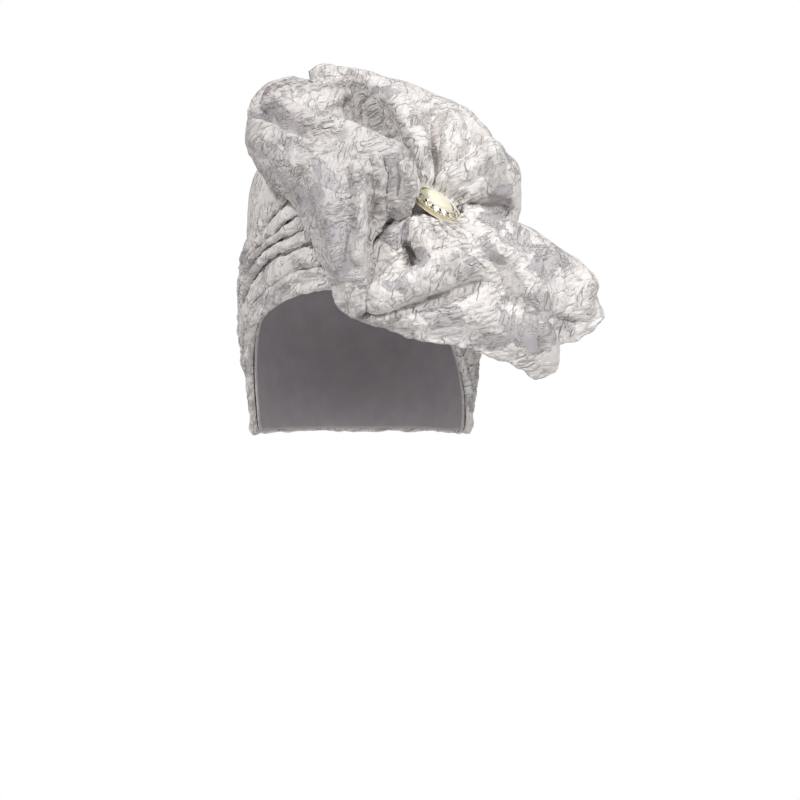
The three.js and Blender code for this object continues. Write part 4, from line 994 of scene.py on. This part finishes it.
def cloque_brocade():
    # Cloque brocade, polyester, jacquard woven: crinkled silver-white yarn in ragged petals that
    # stand up from a smooth lilac-grey satin ground, with thin shadow lines along their edges.
    material, shader, add, place = new_material("cloque_brocade", {
        "IOR": 1.46, "Sheen Weight": 0.12, "Sheen Roughness": 0.4, "Specular IOR Level": 0.35,
    })
    # The colour of the painted shade lines on the yarn
    shadow = colour("#8f8681")
    edge, cover, seam = (add("ShaderNodeAttribute", {"attribute_name": name}, {}, "Fac")
                         for name in ("edge", "cover", "seam"))

    # The cloth's swirl bends its crinkles by about 4 mm, and decides which of the two ways they run
    swirl = add(NOISE, {}, {"Vector": place, "Scale": per_mm(22)})
    ripple = add(NOISE, {}, {"Vector": place, "Scale": per_mm(5)})
    bent = place
    for source, reach in ((swirl, 7 * MM), (ripple, 1.6 * MM)):
        bent = add("ShaderNodeVectorMath", TIMES_PLUS,
                   {0: source.node.outputs["Color"], 1: (reach, reach, reach), 2: bent})
    gate = add(RANGE, SMOOTH, {0: swirl, 1: 0.47, 2: 0.53})

    # The outline of the satin is ragged by up to 2 mm, and strands of yarn cross its border
    fray = add(NOISE, {}, {"Vector": place, "Scale": per_mm(3), "Detail": 4, "Roughness": 0.65})
    ragged = add(MATHS, TIMES_PLUS, {0: fray, 1: 4, 2: -2})
    outline = add(MATHS, PLUS, {0: edge, 1: ragged})
    body = add(RANGE, SMOOTH, {0: outline, 1: -0.1, 2: 0.3})
    strands = crossed_noise(add, bent, gate, (11, 5, 1.7), 3)
    border = add(RANGE, SMOOTH, {0: add(MATHS, SIZE_OF, {0: edge}), 1: 0, 2: 4, 3: 0.3, 4: 0})
    closeness = add(MATHS, PLUS, {0: cover, 1: border})
    shown = add(MATHS, TIMES_PLUS, {0: closeness, 1: 0.62, 2: add(MATHS, PLUS, {0: strands, 1: -0.78})})
    drawn = add(RANGE, SMOOTH, {0: shown, 1: -0.03, 2: 0.04})
    yarn = add(MATHS, TIMES, {0: drawn, 1: add(MATHS, {"operation": "MAXIMUM"}, {0: body, 1: 0.6})})

    # The yarn's overlapping crinkles, 9 mm and 4 mm apart, of which the larger are lost here and there
    kept = add(RANGE, SMOOTH, {0: add(NOISE, {}, {"Vector": place, "Scale": per_mm(15)}), 1: 0.38, 2: 0.52})
    scales, rises = crossed_scales(add, bent, gate, (24, 15, 9), 3.6)
    feet = [add(RANGE, SMOOTH, {0: rise, 1: 0, 2: 0.14, 3: 1, 4: 0}) for rise in rises]
    scales = add(MATHS, TIMES, {0: scales, 1: kept})
    shade = add(MATHS, TIMES, {0: add(MIX, {}, {0: gate, 2: feet[0], 3: feet[1]}), 1: kept})
    fine_scales = crossed_scales(add, bent, gate, (12, 8, 4), 3.0)[0]

    # Its hair lines of 0.7 mm, its crumbs, the cracks between petals and the brink of the satin
    hair = crossed_noise(add, bent, gate, (6, 4, 0.7), 2)
    crumb = add(NOISE, {}, {"Vector": place, "Scale": per_mm(1.1), "Detail": 3, "Roughness": 0.65})
    parting = add(MATHS, TIMES_PLUS, {0: ragged, 1: 0.2, 2: seam})
    crack = add(RANGE, SMOOTH, {0: parting, 1: 0, 2: 0.5, 3: 1, 4: 0})
    brink = add(RANGE, SMOOTH, {0: add(MATHS, SIZE_OF, {0: outline}), 1: 0, 2: 0.3, 3: 1, 4: 0})
    # Satin threads of 0.25 mm drawn 1.14 mm apart, so that they show. Along each axis the wave
    # turns 10 radians to a unit.
    thread_scale = per_mm(1.14) * 2 * math.pi / 10 / math.sqrt(3)
    threads = add("ShaderNodeTexWave", {"wave_type": "BANDS", "bands_direction": "DIAGONAL"},
                  {"Vector": place, "Scale": thread_scale, "Distortion": 0.6, "Detail": 1}, "Fac")

    mottle = add(NOISE, {}, {"Vector": place, "Scale": per_mm(14), "Detail": 3, "Roughness": 0.6})
    pale = add(MIX, COLOURS, {0: add(RANGE, {}, {0: mottle, 1: 0.35, 2: 0.65}),
                              6: colour("#dfdad7"), 7: colour("#eeeae7")}, 2)
    # Painted shade: the pale yarn darkens towards the shadow colour at the foot of each crinkle's fall and
    # along the cracks between petals
    for layer, share in ((shade, 0.2), (crack, 0.3)):
        pale = add(MIX, COLOURS, {0: add(MATHS, TIMES, {0: layer, 1: share}), 6: pale, 7: shadow}, 2)
    dense = add(RANGE, SMOOTH, {0: cover, 1: 0.4, 2: 1})
    pale = add(MIX, COLOURS, {0: dense, 6: colour("#c6c1c0"), 7: pale}, 2)
    satin = add(MIX, COLOURS, {0: add(RANGE, {}, {0: mottle, 1: 0.3, 2: 0.7}),
                               6: colour("#beb8bc"), 7: colour("#c9c3c6")}, 2)
    cloth = add(MIX, COLOURS, {0: yarn, 6: satin, 7: pale}, 2)
    # Painted shadow: a thin dark line along the brink of the satin
    cloth = add(MIX, COLOURS, {0: add(MATHS, TIMES, {0: brink, 1: 0.15}), 6: cloth, 7: shadow}, 2)

    # Heights in millimetres
    relief = add(MATHS, TIMES_PLUS, {0: scales, 1: 2.3, 2: 0.15})
    for layer, rise in ((fine_scales, 0.5), (hair, 0.13), (crumb, 0.2), (crack, -0.6)):
        relief = add(MATHS, TIMES_PLUS, {0: layer, 1: rise, 2: relief})
    relief = add(MATHS, TIMES, {0: relief, 1: yarn})
    relief = add(MATHS, TIMES_PLUS, {0: threads, 1: 0.012, 2: relief})
    return finished(material, shader, {
        "Base Color": cloth,
        "Roughness": add(RANGE, {}, {0: yarn, 3: 0.4, 4: 0.85}),
        "Normal": add("ShaderNodeBump", {}, {"Height": relief, "Strength": 1, "Distance": MM}),
    })


def pale_gilt():
    # Cast zinc alloy, pale gold plated and polished: bright rims, warmer where the casting's
    # hollows hold less plate, and a fine orange-peel from the mould.
    material, shader, add, place = new_material("pale_gilt", {"Metallic": 1.0})
    cast = add(NOISE, {}, {"Vector": place, "Scale": per_mm(1.6), "Detail": 3})
    peel = add(NOISE, {}, {"Vector": place, "Scale": per_mm(0.35), "Detail": 2})
    plate = add(RANGE, {}, {0: cast, 1: 0.3, 2: 0.62})
    return finished(material, shader, {
        "Base Color": add(MIX, COLOURS, {0: plate, 6: colour("#dcc78e"), 7: colour("#f2e7c4")}, 2),
        "Roughness": add(RANGE, {}, {0: cast, 1: 0.3, 2: 0.7, 3: 0.42, 4: 0.26}),
        "Normal": add("ShaderNodeBump", {}, {"Height": peel, "Strength": 0.18, "Distance": 0.06 * MM}),
    })


def painted_hole_shade():
    # Bare zinc alloy on the walls of the pierced holes, painted near black and dull as shade, so the holes
    # read as dark.
    material, shader, add, place = new_material("painted_hole_shade", {"Metallic": 1.0, "Roughness": 0.6})
    shade_mottle = add(NOISE, {}, {"Vector": place, "Scale": per_mm(0.8)})
    hole_shade_colour = add(MIX, COLOURS, {0: shade_mottle, 6: colour("#1f1a14"), 7: colour("#4a4030")}, 2)
    return finished(material, shader, {"Base Color": hole_shade_colour})


def ivory_glass():
    # Moulded opal glass cabochon, ivory: a milky body, a soft satin gloss and a faint sparkle
    # of frosting at the surface.
    material, shader, add, place = new_material("ivory_glass", {
        "IOR": 1.5, "Subsurface Weight": 0.25, "Subsurface Scale": 0.002, "Coat Weight": 0.25,
        "Coat Roughness": 0.12,
    })
    cloud = add(NOISE, {}, {"Vector": place, "Scale": per_mm(9), "Detail": 3})
    frost = add(NOISE, {}, {"Vector": place, "Scale": per_mm(0.5), "Detail": 3, "Roughness": 0.7})
    milk = add(RANGE, {}, {0: cloud, 1: 0.35, 2: 0.65})
    return finished(material, shader, {
        "Base Color": add(MIX, COLOURS, {0: milk, 6: colour("#e6dfc6"), 7: colour("#f1ede0")}, 2),
        "Roughness": add(RANGE, {}, {0: frost, 1: 0.35, 2: 0.7, 3: 0.22, 4: 0.5}),
        "Normal": add("ShaderNodeBump", {}, {"Height": frost, "Strength": 0.2, "Distance": 0.08 * MM}),
    })


def studio_paper():
    # Seamless background paper: matt and near white, with pulp clouds of 25 mm
    material, shader, add, place = new_material("studio_paper", {"Roughness": 0.9, "Specular IOR Level": 0.2})
    pulp = add(NOISE, {}, {"Vector": place, "Scale": per_mm(25), "Detail": 2})
    paper = add(MIX, COLOURS, {0: pulp, 6: colour("#f4f4f4"), 7: colour("#f8f8f8")}, 2)
    return finished(material, shader, {"Base Color": paper})


def start_editing(adder, **settings):
    """Adds a primitive with nothing else selected and opens it for editing."""
    bpy.ops.object.select_all(action="DESELECT")
    adder(**settings)
    piece = bpy.context.active_object
    bpy.ops.object.mode_set(mode="EDIT")
    return piece


def pick_faces(piece, test):
    """Selects the faces whose middle and normal pass a test, in edit mode."""
    bpy.ops.mesh.select_mode(type="FACE")
    bpy.ops.mesh.select_all(action="DESELECT")
    form = bmesh.from_edit_mesh(piece.data)
    for face in form.faces:
        face.select_set(bool(test(face.calc_center_median(), face.normal)))
    bmesh.update_edit_mesh(piece.data)


def stop_editing(piece, angle=35):
    """Closes a piece's seams, turns its faces outwards and leaves edit mode with it smoothly shaded."""
    bpy.ops.mesh.select_all(action="SELECT")
    bpy.ops.mesh.remove_doubles(threshold=1e-4)
    bpy.ops.mesh.normals_make_consistent(inside=False)
    bpy.ops.object.mode_set(mode="OBJECT")
    bpy.ops.object.transform_apply(location=True, rotation=True, scale=True)
    bpy.ops.object.shade_smooth_by_angle(angle=math.radians(angle))
    return piece


def oval(turn, half_length):
    """A point of the brooch's oval of a half length."""
    return half_length * math.cos(turn), half_length * BROOCH_SLENDERNESS * math.sin(turn)


def copy_at(piece, place):
    """A copy with its own mesh, put in its place."""
    twin = piece.copy()
    twin.data = piece.data.copy()
    twin.data.transform(place)
    bpy.context.scene.collection.objects.link(twin)
    return twin


def joined(pieces, name):
    """Several pieces as one."""
    bpy.ops.object.select_all(action="DESELECT")
    for piece in pieces:
        piece.select_set(True)
    bpy.context.view_layer.objects.active = pieces[0]
    bpy.ops.object.join()
    whole = bpy.context.active_object
    whole.name = whole.data.name = name
    return whole


def setting_body():
    """The oval casting: a plain side wall, a rounded rim, a sloping gallery and the seat of the stone."""
    body = start_editing(bpy.ops.mesh.primitive_cylinder_add, vertices=96, radius=BROOCH_HALF_LENGTH,
                         depth=BROOCH_WALL_HEIGHT, location=(0, 0, BROOCH_WALL_HEIGHT / 2),
                         end_fill_type="NGON")
    pick_faces(body, lambda middle, normal: normal.z < -0.9)
    bpy.ops.mesh.inset(thickness=0.9)
    pick_faces(body, lambda middle, normal: normal.z > 0.9)
    for inward, upward in CASTING_STEPS:
        bpy.ops.mesh.inset(thickness=inward)
        bpy.ops.transform.translate(value=(0, 0, upward))
    bpy.ops.mesh.extrude_region_move(TRANSFORM_OT_translate={"value": (0, 0, -SEAT_DROP)})
    bpy.ops.mesh.select_all(action="SELECT")
    bpy.ops.transform.resize(value=(1, BROOCH_SLENDERNESS, 1), center_override=(0, 0, 0))
    return stop_editing(body)


def gallery_height(half_length):
    """Height of the sloping gallery at an oval of a half length."""
    return float(np.interp(half_length, GALLERY_LENGTHS, GALLERY_HEIGHTS))


def pierce(body, hole_shade):
    """Cuts the rings of round holes through the gallery; their walls carry a near black painted shade."""
    drills = []
    rings = ((BROOCH_HOLES, HOLE_RING, HOLE_RADIUS), (2 * BROOCH_HOLES, FINE_HOLE_RING, FINE_HOLE_RADIUS))
    for count, half_length, radius in rings:
        for turn in even_turns(count, half_length, 0.5):
            x, y = oval(turn, half_length)
            drill = start_editing(bpy.ops.mesh.primitive_cylinder_add, vertices=16, radius=radius,
                                  depth=14, location=(x, y, 3))
            drills.append(stop_editing(drill))
    drill = joined(drills, "drills")
    drill.data.materials.append(body.data.materials[0])
    drill.data.materials.append(hole_shade)
    for face in drill.data.polygons:
        face.material_index = 1
    body.data.materials.append(hole_shade)
    bpy.ops.object.select_all(action="DESELECT")
    bpy.context.view_layer.objects.active = body
    body.select_set(True)
    cut = body.modifiers.new("holes", "BOOLEAN")
    cut.operation, cut.object, cut.solver = "DIFFERENCE", drill, "EXACT"
    bpy.ops.object.modifier_apply(modifier=cut.name)
    bpy.data.objects.remove(drill)
    return body


def bead(radius, name):
    """A round grain, a little flattened."""
    made = start_editing(bpy.ops.mesh.primitive_ico_sphere_add, subdivisions=2, radius=radius)
    bpy.ops.transform.resize(value=(1, 1, 0.85))
    made.name = name
    return stop_editing(made, 180)


def ringlet(radius, wire, name):
    """A small ring of flattened wire."""
    made = start_editing(bpy.ops.mesh.primitive_torus_add, major_radius=radius, minor_radius=wire,
                         major_segments=20, minor_segments=8)
    bpy.ops.transform.resize(value=(1, 1, 0.8))
    made.name = name
    return stop_editing(made, 180)


def scroll(radius, wire, name):
    """A half ring of wire with rounded ends, a C-scroll of the filigree."""
    made = start_editing(bpy.ops.mesh.primitive_torus_add, major_radius=radius, minor_radius=wire,
                         major_segments=20, minor_segments=8)
    bpy.ops.mesh.select_all(action="SELECT")
    bpy.ops.mesh.bisect(plane_co=(0, -0.2 * radius, 0), plane_no=(0, 1, 0), clear_inner=True, use_fill=True)
    made.name = name
    return stop_editing(made, 180)


def oval_collar(half_length, wire, height, name):
    """A round wire bent to an oval about the stone or the rim."""
    made = start_editing(bpy.ops.mesh.primitive_torus_add, major_radius=half_length, minor_radius=wire,
                         major_segments=96, minor_segments=10, location=(0, 0, height))
    form = bmesh.from_edit_mesh(made.data)
    for vertex in form.verts:
        turn = math.atan2(vertex.co.y, vertex.co.x)
        out = math.hypot(vertex.co.x, vertex.co.y) - half_length
        x, y = oval(turn, half_length)
        nx, ny = math.cos(turn) * BROOCH_SLENDERNESS, math.sin(turn)
        size = math.hypot(nx, ny)
        vertex.co.x, vertex.co.y = x + out * nx / size, y + out * ny / size
    bmesh.update_edit_mesh(made.data)
    made.name = name
    return stop_editing(made, 180)


def even_turns(count, half_length, first):
    """Turns that are evenly spaced along an oval."""
    fine = [i / 2000 * 2 * math.pi for i in range(2001)]
    spots = [oval(turn, half_length) for turn in fine]
    run = [0.0]
    for a, b in zip(spots, spots[1:]):
        run.append(run[-1] + math.dist(a, b))
    return [float(np.interp((i + first) / count * run[-1], run, fine)) for i in range(count)]


def around_oval(pattern, count, first, half_length, raised, facing):
    """Copies of a pattern evenly spaced along an oval, each turned to face out from it."""
    copies = []
    for turn in even_turns(count, half_length, first):
        x, y = oval(turn, half_length)
        outward = math.atan2(math.sin(turn), math.cos(turn) * BROOCH_SLENDERNESS)
        spin = Matrix.Rotation(outward - math.pi / 2 + facing, 4, "Z")
        spot = Matrix.Translation((x, y, gallery_height(half_length) + raised))
        copies.append(copy_at(pattern, spot @ spin))
    return copies


def brooch_frame(place, gilt, hole_shade):
    """The whole gilt mount: casting, collars, filigree and grains, as one piece."""
    body = setting_body()
    body.data.materials.append(gilt)
    parts = [pierce(body, hole_shade)]
    parts += [oval_collar(*sizes, name) for name, sizes in COLLARS.items()]
    patterns = {
        "grain": bead(0.36, "grain"),
        "small_grain": bead(0.27, "small_grain"),
        "ringlet": ringlet(1.28, 0.24, "ringlet"),
        "scroll": scroll(0.9, 0.22, "scroll"),
        "curl": scroll(0.6, 0.18, "curl"),
    }
    for name, *layout in FILIGREE:
        parts += around_oval(patterns[name], *layout)
    for pattern in patterns.values():
        bpy.data.objects.remove(pattern)
    mount = joined(parts, "brooch_frame")
    mount.data.transform(place)
    return mount


def brooch_cabochon(place, material):
    """The oval stone: a straight girdle in the seat and a full dome over it."""
    stone = start_editing(bpy.ops.mesh.primitive_uv_sphere_add, segments=72, ring_count=40, radius=1)
    bpy.ops.mesh.select_all(action="SELECT")
    bpy.ops.mesh.bisect(plane_co=(0, 0, 0), plane_no=(0, 0, 1), clear_inner=True, use_fill=True)
    bpy.ops.mesh.select_all(action="SELECT")
    half_width = STONE_HALF_LENGTH * BROOCH_SLENDERNESS
    bpy.ops.transform.resize(value=(STONE_HALF_LENGTH, half_width, STONE_DOME))
    bpy.ops.transform.translate(value=(0, 0, STONE_SEAT))
    pick_faces(stone, lambda middle, normal: normal.z < -0.9)
    bpy.ops.mesh.extrude_region_move(TRANSFORM_OT_translate={"value": (0, 0, -STONE_GIRDLE)})
    stop_editing(stone, 50)
    stone.name = stone.data.name = "brooch_cabochon"
    stone.data.transform(place)
    stone.data.materials.append(material)
    return stone


def brooch_place():
    """From the brooch's own frame in millimetres to its place on the bow in metres."""
    normal = BROOCH_NORMAL.normalized()
    side = normal.cross(BROOCH_AXIS).normalized()
    axis = side.cross(normal)
    turn = Matrix((axis, side, normal)).transposed().to_4x4()
    return Matrix.Scale(MM, 4) @ Matrix.Translation(BROOCH_CENTRE) @ turn


def declared(piece, node_name):
    """Hangs a piece on the root body and hides the solid that it stands in for."""
    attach(piece, "root")
    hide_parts(node_name)


brocade_cloth = cloque_brocade()
gilt = pale_gilt()
# Painted shade for the walls of the brooch's holes
hole_shade = painted_hole_shade()
ivory = ivory_glass()

crown = cap_crown(CROWN_POINTS, 11, brocade_cloth)
declared(crown, "cap_crown")

edges = list(EDGES)
for i, (lower, upper) in enumerate(zip(edges, edges[1:])):
    section = (BAND_ACROSS, BAND_OUT) if i == 0 else (FOLD_ACROSS, FOLD_OUT)
    counts = BAND_POINTS if i == 0 else FOLD_POINTS
    strip = fold_strip(lower + "_cloth", lower, upper, counts, section, 100 + 20 * i, brocade_cloth)
    declared(strip, lower)

knot = knot_gathers(KNOT_POINTS, 301, brocade_cloth)
declared(knot, "gather_knot")

loop = bow_sheet("left_loop_cloth", "loop", LOOP, LOOP_POINTS, -1, None, LOOP_HEM, 401, brocade_cloth)
declared(loop, "left_loop")
wing = bow_sheet("front_wing_cloth", "wing", WING, WING_POINTS, -1, WING_GATHERS, WING_HEM, 501,
                 brocade_cloth)
declared(wing, "front_wing")
fan = bow_sheet("top_fan_cloth", "fan", FAN, FAN_POINTS, 1, FAN_GATHERS, None, 601, brocade_cloth)
declared(fan, "top_fan")

place = brooch_place()
declared(brooch_frame(place, gilt, hole_shade), "brooch_setting")
declared(brooch_cabochon(place, ivory), "brooch_stone")
bpy.data.objects["brooch_pin"].data.materials.clear()
bpy.data.objects["brooch_pin"].data.materials.append(gilt)

# The stage, in metres: a sheet of seamless paper far enough below that nothing rests on it
FLOOR_HEIGHT = -1.1
bpy.ops.object.select_all(action="DESELECT")
bpy.ops.mesh.primitive_plane_add(size=7, location=(0, 0, FLOOR_HEIGHT))
floor = bpy.context.active_object
floor.name = "studio_floor"
floor.data.materials.append(studio_paper())

# Soft studio light: a key from the upper left, a weaker one from the right and a little overhead
TARGET = Vector((0.03, -0.04, 0.04))
LAMPS = (
    ("key_light", (-0.9, -1.8, 1.5), 0.3, 34),
    ("right_light", (1.7, -1.7, 1.2), 0.3, 37),
    ("top_light", (0.2, -0.2, 2.4), 0.7, 2),
)
for name, spot, size, power in LAMPS:
    lamp = bpy.data.lights.new(name, "AREA")
    lamp.shape, lamp.size, lamp.energy = "DISK", size, power
    holder = bpy.data.objects.new(name, lamp)
    holder.location = spot
    holder.rotation_euler = (TARGET - Vector(spot)).to_track_quat("-Z", "Y").to_euler()
    bpy.context.scene.collection.objects.link(holder)

# White surroundings: full white behind, dimmer as a light
world = bpy.data.worlds.new("white_studio")
bpy.context.scene.world = world
world.use_nodes = True
sky = world.node_tree
seen = node(sky, "ShaderNodeLightPath", {}, {}, "Is Camera Ray")
shine = node(sky, RANGE, {}, {0: seen, 3: 0.3, 4: 1})
sky.nodes["Background"].inputs["Color"].default_value = (1, 1, 1, 1)
sky.links.new(shine, sky.nodes["Background"].inputs["Strength"])
bpy.context.scene.view_settings.view_transform = "Standard"

# The camera looks level from 65 mm below the origin and 2.2 m in front of the bow, where its
# frame is 520 mm wide
CAMERA_SPOT = (0.026, -2.26, -0.065)
SENSOR = 36
VIEW_DISTANCE, VIEW_WIDTH = 2.2, 0.52
lens = bpy.data.cameras.new("front_camera")
lens.sensor_width, lens.lens = SENSOR, SENSOR * VIEW_DISTANCE / VIEW_WIDTH
camera = bpy.data.objects.new("front_camera", lens)
camera.location = CAMERA_SPOT
camera.rotation_euler = (math.pi / 2, 0, 0)
bpy.context.scene.collection.objects.link(camera)
bpy.context.scene.camera = camera
